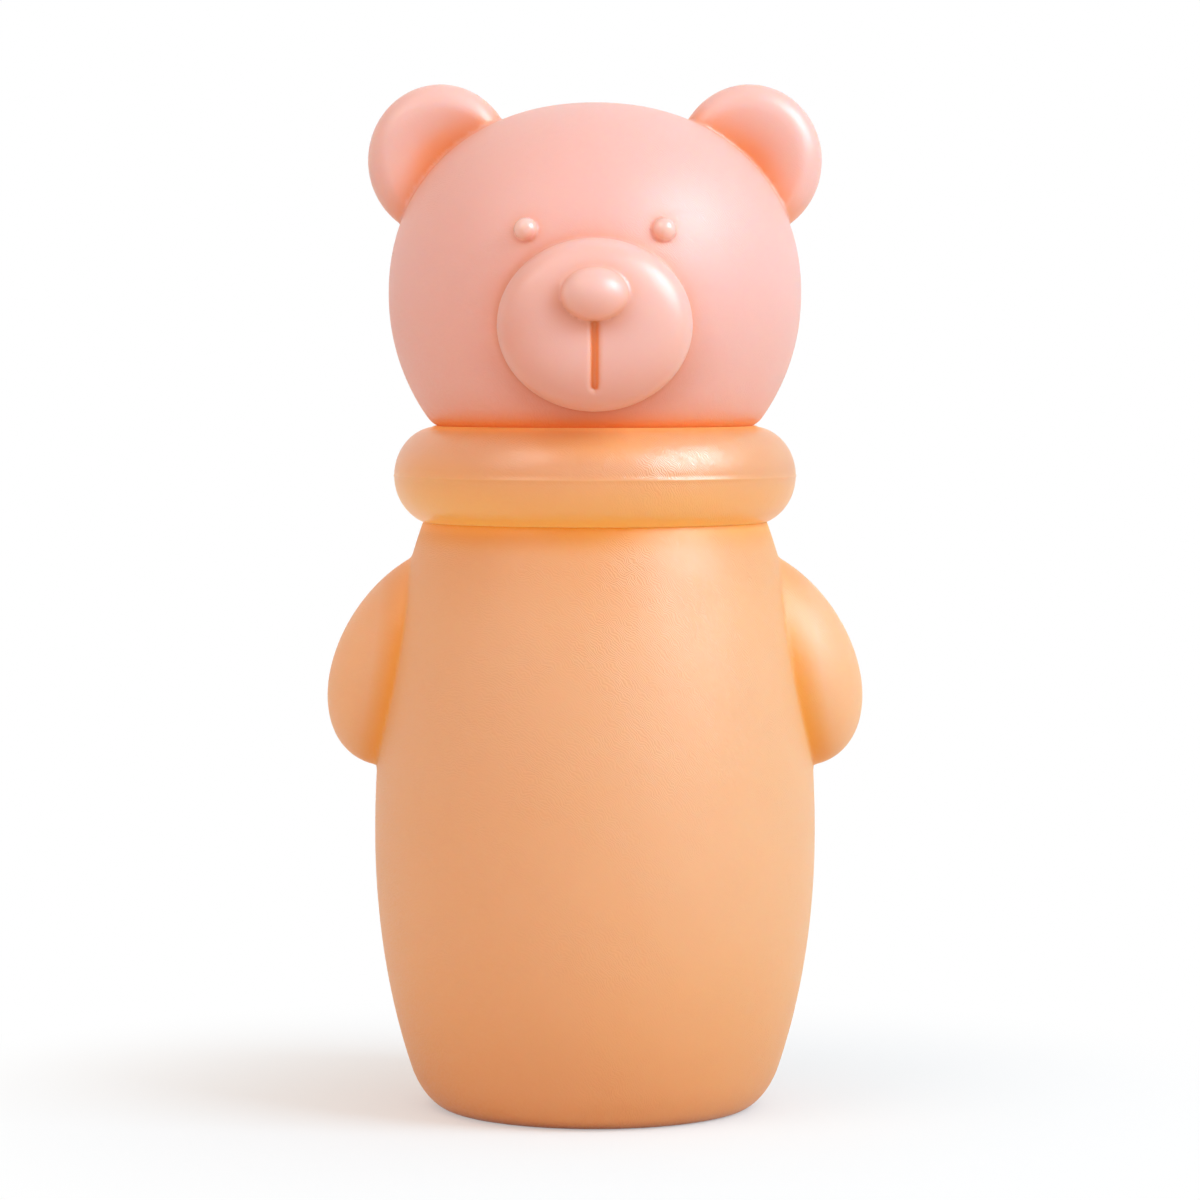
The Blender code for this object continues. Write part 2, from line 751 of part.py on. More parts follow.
def muzzle_middle():
    """Height of the muzzle's middle, which keeps its lower edge above the head's rim."""
    return head_rim + MUZZLE_RIM_GAP + MUZZLE_HALF_HEIGHT


def muzzle(name, shrink):
    """The muzzle, a full round cushion that looks along -Y, made smaller all round by shrink."""
    depth = MUZZLE_REACH + MUZZLE_ROOT
    rings = MUZZLE_STEPS // 4
    outline = [(0, 0)]
    for step in range(rings):
        turn = math.pi / 2 * step / rings
        outline.append((
            math.cos(turn) ** (2 / MUZZLE_FULLNESS),
            math.sin(turn) ** (2 / MUZZLE_FULLNESS),
        ))
    made = turned(name, [*outline, (0, 1)], steps=MUZZLE_STEPS)
    front = -head_profile(muzzle_middle()) - MUZZLE_REACH
    made.data.transform(
        Matrix.Translation((0, front + depth, muzzle_middle()))
        @ Matrix.Rotation(math.pi / 2, 4, "X")
        @ Matrix.Diagonal((MUZZLE_HALF_WIDTH - shrink, MUZZLE_HALF_HEIGHT - shrink, depth - shrink, 1))
    )
    return made


def muzzle_front(rise):
    """How far forward the muzzle's middle line stands at a height above its middle."""
    share = abs(rise) / MUZZLE_HALF_HEIGHT
    depth = MUZZLE_REACH + MUZZLE_ROOT
    bulge = depth * (1 - share ** MUZZLE_FULLNESS) ** (1 / MUZZLE_FULLNESS)
    return -head_profile(muzzle_middle()) + MUZZLE_ROOT - bulge


def nose():
    """The nose, an egg lying across the upper muzzle."""
    made = ellipsoid("nose", (NOSE_HALF_WIDTH, NOSE_HALF_DEPTH, NOSE_HALF_HEIGHT), NOSE_STEPS)
    rise = MUZZLE_HALF_HEIGHT * NOSE_PLACE_SHARE
    made.location = (0, muzzle_front(rise), muzzle_middle() + rise)
    return made


def eye(side):
    """One eye, a small bead sunk a little into the head."""
    made = ellipsoid(f"eye_{side}", (EYE_RADIUS, EYE_RADIUS, EYE_RADIUS), EYE_STEPS)
    height = muzzle_middle() + MUZZLE_HALF_HEIGHT + EYE_RISE
    out = head_profile(height) - EYE_RADIUS * EYE_SUNK_SHARE
    across = side * EYE_SPREAD
    made.location = (across, -math.sqrt(out ** 2 - across ** 2), height)
    return made


def mouth_groove():
    """The groove under the nose: an upright slot whose floor follows the muzzle."""
    low = muzzle_middle() - MUZZLE_HALF_HEIGHT * GROOVE_END_SHARE
    top = muzzle_middle() + MUZZLE_HALF_HEIGHT * NOSE_PLACE_SHARE
    half = GROOVE_WIDTH / 2
    shape = bmesh.new()
    outline = [(half, top), (-half, top)]
    for step in range(2 * ROUND_STEPS + 1):
        turn = math.pi * (1 + step / (2 * ROUND_STEPS))
        outline.append((half * math.cos(turn), low + half + half * math.sin(turn)))
    front = -head_profile(muzzle_middle()) - MUZZLE_REACH - OVERRUN
    face = shape.faces.new([shape.verts.new((x, front, z)) for x, z in outline])
    pulled = bmesh.ops.extrude_face_region(shape, geom=[face])
    moved = [v for v in pulled["geom"] if isinstance(v, bmesh.types.BMVert)]
    bmesh.ops.translate(shape, verts=moved, vec=(0, MUZZLE_REACH + OVERRUN, 0))
    slot = finished("mouth_groove", shape)
    return combine(slot, muzzle("muzzle_core", GROOVE_DEPTH), "DIFFERENCE")


def head_cavity():
    """The inside of the head: a skirt round the collar's spigot, then a room for the spoon."""
    skirt_top = head_rim + HEAD_SKIRT_LENGTH
    room_low = skirt_top + HEAD_SKIRT_TAPER
    wall = [
        (head_profile(z) - HEAD_WALL, z, 0)
        for z in spaced(room_low, head_middle, HEAD_STEPS // 2)[:-1]
    ]
    crown = crown_curve(head_radius - HEAD_WALL, HEAD_UPPER_HEIGHT - HEAD_WALL, head_middle)
    corners = [
        (0, head_rim - OVERRUN, 0),
        (cover_bore, head_rim - OVERRUN, 0),
        *bead(cover_bore, grip_height, GRIP_BEAD, GRIP_BEAD_HALF),
        (cover_bore, skirt_top, 0),
        *wall,
        *[(*point, 0) for point in crown],
    ]
    return turned("head_cavity", rounded(corners, closed=False), steps=BORE_STEPS)


def head_cover(look):
    """The bear's head: a hollow cap with ears, eyes, muzzle and nose in the same moulding."""
    side = [(head_profile(z), z) for z in spaced(head_rim, head_middle, HEAD_STEPS)[1:-1]]
    lower = rounded(
        [(0, head_rim, 0), (head_rim_radius, head_rim, HEAD_RIM_EDGE), (*side[0], 0)],
        closed=False,
        steps=ROUND_STEPS,
    )
    crown = crown_curve(head_radius, HEAD_UPPER_HEIGHT, head_middle)
    cover = turned("head_cover", [*lower, *side[1:], *crown], look)
    for part in (ear(1), ear(-1), muzzle("muzzle", 0)):
        combine(cover, part, "UNION")
    combine(cover, mouth_groove(), "DIFFERENCE")
    for part in (nose(), eye(1), eye(-1)):
        combine(cover, part, "UNION")
    return combine(cover, head_cavity(), "DIFFERENCE")


def main():
    clear_scene()
    orange = material("orange silicone", (0.84, 0.42, 0.20), 0.45)
    amber = material("amber silicone", (0.84, 0.44, 0.24), 0.32)
    pink = material("pink silicone", (0.92, 0.52, 0.44), 0.48)
    frosted = material("frosted plastic", (0.90, 0.86, 0.80), 0.35)
    hard_orange = material("hard orange plastic", (0.86, 0.48, 0.28), 0.30)
    clear = material("clear silicone", (0.88, 0.86, 0.84), 0.30)
    squeeze_bottle(orange)
    neck_liner(frosted)
    neck_seal(clear)
    nozzle_base(frosted)
    flow_valve(clear)
    valve_retainer(frosted)
    collar_ring(hard_orange)
    collar_sleeve(amber)
    soft_spoon(pink)
    head_cover(pink)


main()
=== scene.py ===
"""Finished skins, surfaces, floor and light for the bear-shaped squeeze feeding bottle."""

import math

import bmesh
import bpy
import numpy as np
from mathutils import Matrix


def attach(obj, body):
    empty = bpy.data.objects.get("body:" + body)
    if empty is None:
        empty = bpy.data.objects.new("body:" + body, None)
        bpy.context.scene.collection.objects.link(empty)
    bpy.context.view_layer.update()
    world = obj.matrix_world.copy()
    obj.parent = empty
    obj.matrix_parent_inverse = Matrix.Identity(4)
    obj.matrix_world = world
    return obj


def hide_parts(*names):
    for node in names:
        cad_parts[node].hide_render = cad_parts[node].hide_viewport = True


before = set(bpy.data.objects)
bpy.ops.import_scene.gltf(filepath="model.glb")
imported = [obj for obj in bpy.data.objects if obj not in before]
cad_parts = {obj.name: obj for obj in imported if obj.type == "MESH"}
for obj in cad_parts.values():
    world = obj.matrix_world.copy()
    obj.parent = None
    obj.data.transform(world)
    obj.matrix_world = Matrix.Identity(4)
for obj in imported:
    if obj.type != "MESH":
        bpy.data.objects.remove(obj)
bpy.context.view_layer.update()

MM = 0.001

# Sizes in millimetres, as on the solids
BELLY_RADIUS = 31.0
BELLY_HEIGHT = 38.6
BELLY_REACH_DOWN = 60.24
BELLY_REACH_UP = 69.9
SHOULDER = 81.7
NECK_RADIUS = 20.0
NECK_BORE = 17.0
NECK_RIM = 88.0
BODY_WALL = 2.4
BODY_FLOOR = 3.0
ARM_HALF = (11.4, 10.6, 17.2)
ARM_PLACE = (24.2, 0.0, 63.6)
ARM_TILT = math.radians(34)
SLEEVE_CENTRE = 22.0
SLEEVE_MIDDLE = 88.9
SLEEVE_HALF = (6.2, 6.9)
COLLAR_SEAM = 82.2
RIB_HEIGHTS = (87.172, 90.628)
HEAD_RIM = 96.1
RIM_DROP = 0.65
# Height above which the painted shade and glow along the head's rim fade out.
RIM_SHADE_LINE = 95.6
HEAD_MIDDLE = 114.2
HEAD_RADIUS = 28.9
HEAD_REACH_DOWN = 29.45
HEAD_REACH_UP = 26.8
HEAD_FULLNESS = 2.15
HEAD_WALL = 2.5
COVER_BORE = 19.8
EAR_PLACE = (21.65, 1.5, 133.0)
EAR_RIM = 6.8
EAR_SECTION = 3.4
EAR_STRETCH = 1.046
EAR_DISH_IN = 2.0
MUZZLE_MIDDLE = 109.75
MUZZLE_HALF = (13.1, 11.6)
MUZZLE_EDGE = -28.2
MUZZLE_DEPTH = 6.3
MUZZLE_FULLNESS = 3.1
MUZZLE_MEAN_HALF = 12.4
GROOVE_BOTTOM = 101.6
GROOVE_HALF_WIDTH = 0.36
GROOVE_DEPTH = 0.9
NOSE_PLACE = (0.0, -34.4, 113.75)
NOSE_HALF = (4.45, 3.3, 3.55)
EYE_PLACE = (9.25, -26.3, 122.5)
EYE_RADIUS = 1.62
SEAT_GAP = -0.45

WELD = 0.0000005
SHARP = math.radians(38)


def eased(share):
    """From 0 to 1 as share does, slow at both ends."""
    share = np.clip(share, 0, 1)
    return share * share * (3 - 2 * share)


def fading(distance, reach, power=2):
    """1 where distance is zero or less, and next to nothing at twice the reach."""
    return np.exp(-((np.maximum(distance, 0) / reach) ** power))


# Fields: each is below zero inside its form and tells about how far away the form is


def joined(a, b, radius):
    """Both forms as one, with a fillet where they meet."""
    share = np.clip(0.5 + 0.5 * (b - a) / radius, 0, 1)
    return b + (a - b) * share - radius * share * (1 - share)


def common(a, b, radius):
    """What two forms share, with rounded edges."""
    return -joined(-a, -b, radius)


def egg(x, y, z, place, half):
    """An ellipsoid."""
    x, y, z = x - place[0], y - place[1], z - place[2]
    near = np.sqrt((x / half[0]) ** 2 + (y / half[1]) ** 2 + (z / half[2]) ** 2)
    steep = np.sqrt((x / half[0] ** 2) ** 2 + (y / half[1] ** 2) ** 2 + (z / half[2] ** 2) ** 2)
    return near * (near - 1) / np.maximum(steep, 1e-9)


def swell(width, rise, half_width, reach, fullness):
    """A turned or pressed form that fills out more than an ellipse when fullness is over 2."""
    u, v = width / half_width, np.abs(rise) / reach
    size = np.maximum((u ** fullness + v ** fullness) ** (1 / fullness), 1e-6)
    slope = np.hypot(
        (u / size) ** (fullness - 1) / half_width, (v / size) ** (fullness - 1) / reach
    )
    return (size - 1) / np.maximum(slope, 1e-9)


def footed(side, rise, spread, height):
    """Rounds the corner between a side wall and the flat foot below it."""
    u = np.maximum(side + spread, 0) / spread
    v = np.maximum(rise + height, 0) / height
    size = np.hypot(u, v)
    slope = np.hypot(u / spread, v / height) / np.maximum(size, 1e-6)
    corner = (size - 1) / np.maximum(slope, 1e-6)
    return np.where((side > -spread) & (rise > -height), corner, np.maximum(side, rise))


def belly(x, y, z):
    """The bottle's belly without its foot, shoulder and arms."""
    across = np.hypot(x, y)
    rise = z - BELLY_HEIGHT
    reach = np.where(rise < 0, BELLY_REACH_DOWN, BELLY_REACH_UP)
    return swell(across, rise, BELLY_RADIUS, reach, 2)


def arm(x, y, z):
    """Both arms, as one lobe on each side."""
    side, up = np.abs(x) - ARM_PLACE[0], z - ARM_PLACE[2]
    along = up * math.cos(ARM_TILT) - side * math.sin(ARM_TILT)
    out = side * math.cos(ARM_TILT) + up * math.sin(ARM_TILT)
    return egg(out, y, along, (0, 0, 0), ARM_HALF)


def on_arm(x, y, z):
    """1 on the arms' skin, and 0 away from it."""
    return np.clip(1 - np.abs(arm(x, y, z)) / 0.3, 0, 1)


def bottle_outside(x, y, z):
    """Belly with foot and shoulder, arms and neck."""
    across = np.hypot(x, y)
    trunk = footed(belly(x, y, z), -z, 2.5, 5.5)
    seat = np.where(across > SLEEVE_CENTRE, SEAT_GAP - sleeve_outside(x, y, z), z - SHOULDER - 0.2)
    trunk = common(trunk, np.maximum(seat, z - SLEEVE_MIDDLE), 0.15)
    neck = common(across - NECK_RADIUS, z - NECK_RIM, 0.9)
    neck = np.maximum(neck, SHOULDER - 5 - z)
    return joined(joined(trunk, arm(x, y, z), 0.4), neck, 0.6)


def bottle_inside(x, y, z):
    """The room inside the bottle and its neck, with the groove for the liner's bead."""
    across = np.hypot(x, y)
    room = common(belly(x, y, z) + BODY_WALL, BODY_FLOOR - z, 4.0)
    ceiling = (across - NECK_BORE) * 0.419 + (z - 81.0) * 0.908
    room = common(room, ceiling, 1.6)
    groove = np.clip(1.9 - np.abs(z - 85.2), 0, 0.8)
    bore = np.maximum(across - NECK_BORE - groove, 78 - z)
    return joined(room, bore, 0.8)


def bottle(x, y, z):
    """The bottle's skin."""
    return common(bottle_outside(x, y, z), -bottle_inside(x, y, z), 0.5)


def sleeve_outside(x, y, z):
    """The round ring on the collar."""
    across = np.hypot(x, y) - SLEEVE_CENTRE
    return swell(np.abs(across), z - SLEEVE_MIDDLE, *SLEEVE_HALF, 2)


def skull(x, y, z):
    """The head without its rim, ears and face."""
    across = np.hypot(x, y)
    rise = z - HEAD_MIDDLE
    lower = swell(across, rise, HEAD_RADIUS, HEAD_REACH_DOWN, 2)
    upper = swell(across, rise, HEAD_RADIUS, HEAD_REACH_UP, HEAD_FULLNESS)
    return np.where(rise < 0, lower, upper)


def ear(x, y, z):
    """Both ears: a thick rim with a dish in front."""
    side, up = np.abs(x) - EAR_PLACE[0], (z - EAR_PLACE[2]) / EAR_STRETCH
    depth = y - EAR_PLACE[1]
    out = np.hypot(side, up)
    rim = np.hypot(out - EAR_RIM, depth) - EAR_SECTION
    back = np.where(out > EAR_RIM, rim, depth - EAR_SECTION)
    across = np.hypot(side + EAR_DISH_IN, up + EAR_DISH_IN)
    share = np.clip(across / (EAR_RIM + 1.4 * EAR_DISH_IN), 0, 1)
    front = EAR_SECTION - 1.85 * (1 + np.cos(np.pi * share)) / 2
    web = np.maximum((-depth - front) / 1.15, back)
    return np.where(out > EAR_RIM, np.maximum(rim, np.where(share < 1, web, rim)), web)


def muzzle(x, y, z, smaller=0.0):
    """The muzzle's cushion: a domed front, and a side wall that goes straight back."""
    half_width, half_height = MUZZLE_HALF[0] - smaller, MUZZLE_HALF[1] - smaller
    depth = MUZZLE_DEPTH - smaller
    taper = 1 - 0.012 * np.maximum(y - MUZZLE_EDGE, 0)
    u = np.hypot(x / half_width, (z - MUZZLE_MIDDLE) / half_height) / taper
    v = np.maximum(MUZZLE_EDGE - y, 0) / depth
    power = MUZZLE_FULLNESS
    size = np.maximum((u ** power + v ** power) ** (1 / power), 1e-6)
    slope = np.hypot(
        (u / size) ** (power - 1) / MUZZLE_MEAN_HALF, (v / size) ** (power - 1) / depth
    )
    return np.maximum((size - 1) / np.maximum(slope, 1e-9), y + 20)


def face(x, y, z):
    """Muzzle with its groove, and the nose."""
    middle = np.clip(z, GROOVE_BOTTOM, NOSE_PLACE[2])
    slot = np.hypot(x, z - middle) - GROOVE_HALF_WIDTH
    slot = common(np.maximum(slot, y + 24), -muzzle(x, y, z, GROOVE_DEPTH), 0.3)
    snout = common(muzzle(x, y, z), -slot, 0.9)
    return joined(snout, egg(x, y, z, NOSE_PLACE, NOSE_HALF), 0.4)


def in_groove(x, y, z):
    """1 at the bottom of the mouth groove, and 0 away from it."""
    return (y < -24) * (np.abs(x) < 0.7) * np.clip(-muzzle(x, y, z) / 0.6 - 0.3, 0, 1)


def eyes(x, y, z):
    """Both eyes."""
    return egg(np.abs(x), y, z, EYE_PLACE, (EYE_RADIUS,) * 3)


def head_outside(x, y, z):
    """Skull, ears, face and eyes."""
    form = common(skull(x, y, z), HEAD_RIM - RIM_DROP - z, 1.7)
    form = joined(form, ear(x, y, z), 0.4)
    form = joined(form, face(x, y, z), 0.35)
    return joined(form, eyes(x, y, z), 0.18)


def head_inside(x, y, z):
    """The room under the head, with the mouth that grips the spigot."""
    across = np.hypot(x, y)
    room = common(skull(x, y, z) + HEAD_WALL, (101.9 - z) + (across - 22) * 0.45, 1.5)
    groove = np.clip(1.0 - np.abs(z - 98.2), 0, 0.5)
    mouth = np.maximum(across - COVER_BORE - groove, z - 104)
    return joined(room, mouth, 0.8)


def head(x, y, z):
    """The head's skin."""
    return common(head_outside(x, y, z), -head_inside(x, y, z), 0.5)


def whole_outside(x, y, z):
    """Bottle, collar and head together, closed, as they stand in the photograph."""
    both = np.minimum(bottle_outside(x, y, z), sleeve_outside(x, y, z))
    return np.minimum(both, head_outside(x, y, z))


# From fields to meshes


def lattice(*spans):
    """Positions along one axis. Each span is (from, to, step)."""
    parts = [
        np.linspace(low, high, max(1, round((high - low) / step)), endpoint=False)
        for low, high, step in spans
    ]
    return np.concatenate([*parts, [spans[-1][1]]])


def both_sides(*spans):
    """Positions from -x to x out of spans that run outwards from zero."""
    half = lattice(*spans)
    return np.concatenate([-half[:0:-1], half])


def wrapped(field, lines):
    """Points and four-sided faces of the surface on which the field is zero."""
    values = field(*np.meshgrid(*lines, indexing="ij"))
    cells = [len(line) - 1 for line in lines]
    size = int(np.prod(cells))
    total, count = np.zeros((3, size)), np.zeros(size)
    faces = []
    for axis in range(3):
        low = np.delete(values, -1, axis)
        high = np.delete(values, 0, axis)
        cross = np.argwhere((low < 0) != (high < 0))
        at = tuple(cross.T)
        share = low[at] / (low[at] - high[at])
        point = np.stack([lines[i][cross[:, i]] for i in range(3)])
        point[axis] += share * np.diff(lines[axis])[cross[:, axis]]
        u, v = (axis + 1) % 3, (axis + 2) % 3
        ring = []
        for back_u, back_v in ((1, 1), (0, 1), (0, 0), (1, 0)):
            cell = cross.copy()
            cell[:, u] -= back_u
            cell[:, v] -= back_v
            key = np.ravel_multi_index(tuple(cell.T), cells)
            ring.append(key)
            count += np.bincount(key, minlength=size)
            for i in range(3):
                total[i] += np.bincount(key, weights=point[i], minlength=size)
        ring = np.stack(ring, axis=1)
        turned_in = low[at] >= 0
        ring[turned_in] = ring[turned_in][:, ::-1]
        faces.append(ring)
    used, index = np.unique(np.concatenate(faces), return_inverse=True)
    return (total[:, used] / count[used]).T, index.reshape(-1, 4)


def slopes(field, points, step=0.02):
    """The field's slope at each point."""
    result = np.zeros_like(points)
    for axis in range(3):
        shift = np.zeros(3)
        shift[axis] = step
        result[:, axis] = (field(*(points + shift).T) - field(*(points - shift).T)) / (2 * step)
    return result


def settled(field, points, reach):
    """Moves each point on to the surface, by no more than reach."""
    for _ in range(3):
        slope = slopes(field, points)
        move = -field(*points.T)[:, None] * slope
        move /= np.maximum((slope ** 2).sum(1), 1e-6)[:, None]
        length = np.maximum(np.linalg.norm(move, axis=1), 1e-9)[:, None]
        points = points + move * np.minimum(1, reach / length)
    return points


def evened(points, faces):
    """Moves each point to the middle of its neighbours."""
    a = faces.ravel()
    b = np.roll(faces, 1, axis=1).ravel()
    ends, others = np.concatenate([a, b]), np.concatenate([b, a])
    count = np.bincount(ends, minlength=len(points))
    middle = [np.bincount(ends, weights=points[others, i], minlength=len(points)) for i in range(3)]
    return (np.stack(middle) / count).T


def hollow(points, normals):
    """How deep each point of the outside lies in a crease, from 0 to 1."""
    depth = np.zeros(len(points))
    for reach in (0.8, 2.5, 7.0):
        room = whole_outside(*(points + normals * reach).T)
        depth += np.clip(1 - room / reach, 0, 1) / 3
    buried = whole_outside(*points.T) < -0.35
    return np.where(buried, 0.3, depth)


def put(mesh, name, values):
    """Stores one value for each point of a mesh."""
    attribute = mesh.attributes.new(name, "FLOAT", "POINT")
    attribute.data.foreach_set("value", np.asarray(values, np.float32))


def with_painted_light(thing, polish, extra_painted_shade=None, glow=None, shade=None):
    """Stores four values for each point: painted warm shade in creases and on undersides, how
    smooth the skin is, painted glow and painted dark shade. Polish is a number or a function,
    the others are functions or left out. The extra warm shade adds to the painted shade, or takes
    from it when below zero."""
    mesh = thing.data
    points = np.zeros(len(mesh.vertices) * 3)
    normals = np.zeros(len(mesh.vertices) * 3)
    mesh.vertices.foreach_get("co", points)
    mesh.vertices.foreach_get("normal", normals)
    points, normals = points.reshape(-1, 3) / MM, normals.reshape(-1, 3)
    # Painted shade on surfaces that face downwards.
    under = 0.4 * np.clip(0.1 - 1.2 * normals[:, 2], 0, 1)
    # Painted warm shade in creases, as hollow measures them, and on the downward faces.
    painted_warm_shade = 1 - (1 - hollow(points, normals)) * (1 - under)
    if extra_painted_shade:
        warm = np.clip(extra_painted_shade(points), -1, 1)
        painted_warm_shade = 1 - (1 - painted_warm_shade * (1 + np.minimum(warm, 0))) * (1 - np.maximum(warm, 0))
    put(mesh, "painted_warm_shade", painted_warm_shade)
    put(mesh, "polish", polish(points) if callable(polish) else np.full(len(points), polish))
    for name, given in (("glow", glow), ("shade", shade)):
        put(mesh, name, given(points) if given else np.zeros(len(points)))
    return thing


def added(name, data):
    """A new object in the scene."""
    thing = bpy.data.objects.new(name, data)
    bpy.context.scene.collection.objects.link(thing)
    return thing


def applied(thing):
    """The plain mesh of an object with its modifiers carried out."""
    ready = thing.evaluated_get(bpy.context.evaluated_depsgraph_get())
    return bpy.data.meshes.new_from_object(ready)


def placed(name, mesh, finish, body, slot, *nodes):
    """Makes the object of a mesh, which rides on a body and stands for its nodes."""
    mesh.name = name
    thing = added(name, mesh)
    mesh.materials.clear()
    mesh.materials.append(finish)
    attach(thing, body)
    if nodes:
        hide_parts(*nodes)
    return thing


def skin(field, lines, rounds=2, reach=0.5):
    """The smooth mesh of a field."""
    points, faces = wrapped(field, lines)
    points = settled(field, points, reach)
    for _ in range(rounds):
        points = settled(field, evened(points, faces), reach)
    mesh = bpy.data.meshes.new("skin")
    mesh.from_pydata((points * MM).tolist(), [], faces.tolist())
    mesh.update()
    mesh.shade_smooth()
    return mesh


# Node trees


class Flow:
    """A socket that can be worked with: each sum or product adds a Math node."""

    def __init__(self, graph, socket):
        self.graph = graph
        self.socket = socket

    def __add__(self, other):
        return self.graph.math("ADD", self, other)

    def __sub__(self, other):
        return self.graph.math("SUBTRACT", self, other)

    def __mul__(self, other):
        return self.graph.math("MULTIPLY", self, other)

    def __truediv__(self, other):
        return self.graph.math("DIVIDE", self, other)

    def __radd__(self, other):
        return self.graph.math("ADD", other, self)

    def __rsub__(self, other):
        return self.graph.math("SUBTRACT", other, self)

    def clamped(self):
        """Kept between 0 and 1."""
        return self.graph.node("ShaderNodeClamp", Value=self)

    def rising(self, low, high):
        """From 0 at low to 1 at high, easing in and out."""
        return self.graph.node(
            "ShaderNodeMapRange", {"interpolation_type": "SMOOTHSTEP"},
            Value=self, From_Min=low, From_Max=high,
        )


class Graph:
    """A node tree, written as calls."""

    def __init__(self, tree):
        self.tree = tree

    def node(self, kind, settings=None, out=0, **sockets):
        """Adds a node. Its settings come first, then the values or links of its sockets."""
        made = self.tree.nodes.new(kind)
        for name, value in (settings or {}).items():
            setattr(made, name, value)
        for name, value in sockets.items():
            self.feed(self.find(made.inputs, name), value)
        return Flow(self, self.find(made.outputs, out))

    def find(self, sockets, key):
        """A socket by its number, its identifier or its name, with _ for a space."""
        if isinstance(key, int):
            return sockets[key]
        for socket in sockets:
            if socket.identifier == key:
                return socket
        return sockets[key.replace("_", " ")]

    def feed(self, socket, value):
        """Links a socket to a flow, or sets its value."""
        if isinstance(value, Flow):
            self.tree.links.new(value.socket, socket)
        else:
            socket.default_value = value

    def feed_all(self, made, values):
        """Links or sets a node's inputs by their names."""
        for name, value in values.items():
            self.feed(made.inputs[name], value)

    def math(self, operation, *values):
        """One Math node."""
        made = self.tree.nodes.new("ShaderNodeMath")
        made.operation = operation
        for socket, value in zip(made.inputs, values):
            self.feed(socket, value)
        return Flow(self, made.outputs[0])

    def mix(self, share, a, b, way="MIX"):
        """Mixes two colours."""
        return self.node(
            "ShaderNodeMix", {"data_type": "RGBA", "blend_type": way}, "Result_Color",
            Factor_Float=share, A_Color=a, B_Color=b,
        )

    def blend(self, share, a, b):
        """Mixes two shaders."""
        mixed = self.node("ShaderNodeMixShader", None, "Shader", Fac=share)
        for socket, shader in zip(mixed.socket.node.inputs[1:], (a, b)):
            self.feed(socket, shader)
        return mixed


def colour(*levels):
    """A colour from its levels as a screen shows them, 0 to 255."""
    linear = [
        v / 255 / 12.92 if v <= 10 else ((v / 255 + 0.055) / 1.055) ** 2.4 for v in levels
    ]
    return (*linear, 1)


def new_finish(name):
    """An empty material with its Principled shader, as (material, graph, shader)."""
    made = bpy.data.materials.new(name)
    made.use_nodes = True
    return made, Graph(made.node_tree), made.node_tree.nodes["Principled BSDF"]


def noise(graph, place, scale, detail=2.0, distortion=0.0):
    """Soft noise in the material's own space."""
    return graph.node(
        "ShaderNodeTexNoise", None, "Fac",
        Vector=place, Scale=scale, Detail=detail, Roughness=0.5, Distortion=distortion,
    )


def silicone(name, plain, deep, pale, dimmed, light, bare_rough, gloss_rough, grain, specular):
    """Soft silicone: finely wrinkled where it is bare, smoother and paler where it is polished,
    with painted warm shade, painted dark shade and a painted glow."""
    made, graph, shader = new_finish(name)
    place = graph.node("ShaderNodeTexCoord", None, "Object")
    painted_warm_shade, polish, glow, shade = (
        graph.node("ShaderNodeAttribute", {"attribute_name": stored}, "Fac")
        for stored in ("painted_warm_shade", "polish", "glow", "shade")
    )
    cloud = noise(graph, place, 45)
    speck = noise(graph, place, 900)
    patch = noise(graph, place, 130, distortion=0.5)
    wrinkle = graph.node(
        "ShaderNodeTexWave", {"wave_type": "BANDS", "bands_direction": "DIAGONAL"}, "Fac",
        Vector=place, Scale=1300.0, Distortion=18.0, Detail=2.0, Detail_Scale=0.45,
        Detail_Roughness=0.5,
    )
    ripple = noise(graph, place, 300, distortion=0.4)

    # Painted warm shade: the stored shade, with some random clouding, mixes the colour towards the
    # deep tone.
    share = (painted_warm_shade + (cloud - 0.5) * 0.16).clamped()
    tone = graph.mix(share, graph.mix(polish, plain, pale), deep)
    bare = (1 - polish * 1.6).clamped()
    rough = bare_rough + polish * (gloss_rough - bare_rough) + (speck - 0.5) * 0.08 * bare
    rough = rough + (wrinkle - 0.5) * 0.14 * bare
    worn = patch.rising(0.25, 0.75) * 0.8 + 0.2
    height = wrinkle * worn * bare + ripple * (0.5 - polish * 0.7).clamped()
    bump = graph.node("ShaderNodeBump", None, "Normal", Strength=1.0, Distance=grain, Height=height)
    shader.subsurface_method = "RANDOM_WALK"
    graph.feed_all(shader, {
        # Painted dark shade mixes the colour towards its darker tone.
        "Base Color": graph.mix(shade.clamped(), tone, dimmed),
        "Roughness": rough,
        "Normal": bump,
        # Painted glow: emission in the light colour where glow is stored, though the silicone is no
        # lamp.
        "Emission Color": graph.mix(glow.clamped(), (0, 0, 0, 1), light),
        "Emission Strength": 0.3,
        "Subsurface Weight": 0.7,
        "Subsurface Radius": (0.7, 0.42, 0.24),
        "Subsurface Scale": 0.0022,
        "IOR": 1.45,
        "Specular IOR Level": specular,
    })
    return made


def hard_plastic(name, tone, other_tone, rough):
    """Moulded polypropylene with a slightly clouded, faintly grained surface."""
    made, graph, shader = new_finish(name)
    place = graph.node("ShaderNodeTexCoord", None, "Object")
    cloud = noise(graph, place, 120, 3.0, 0.6)
    grain = noise(graph, place, 1500)
    depth = 0.00002
    bump = graph.node("ShaderNodeBump", None, "Normal", Strength=0.5, Distance=depth, Height=grain)
    graph.feed_all(shader, {
        "Base Color": graph.mix(cloud.rising(0.3, 0.7), tone, other_tone),
        "Roughness": rough + (grain - 0.5) * 0.12 + (cloud - 0.5) * 0.06,
        "Normal": bump,
        "Subsurface Weight": 0.2,
        "Subsurface Radius": (1.0, 0.8, 0.6),
        "Subsurface Scale": 0.002,
    })
    return made


# Geometry Nodes


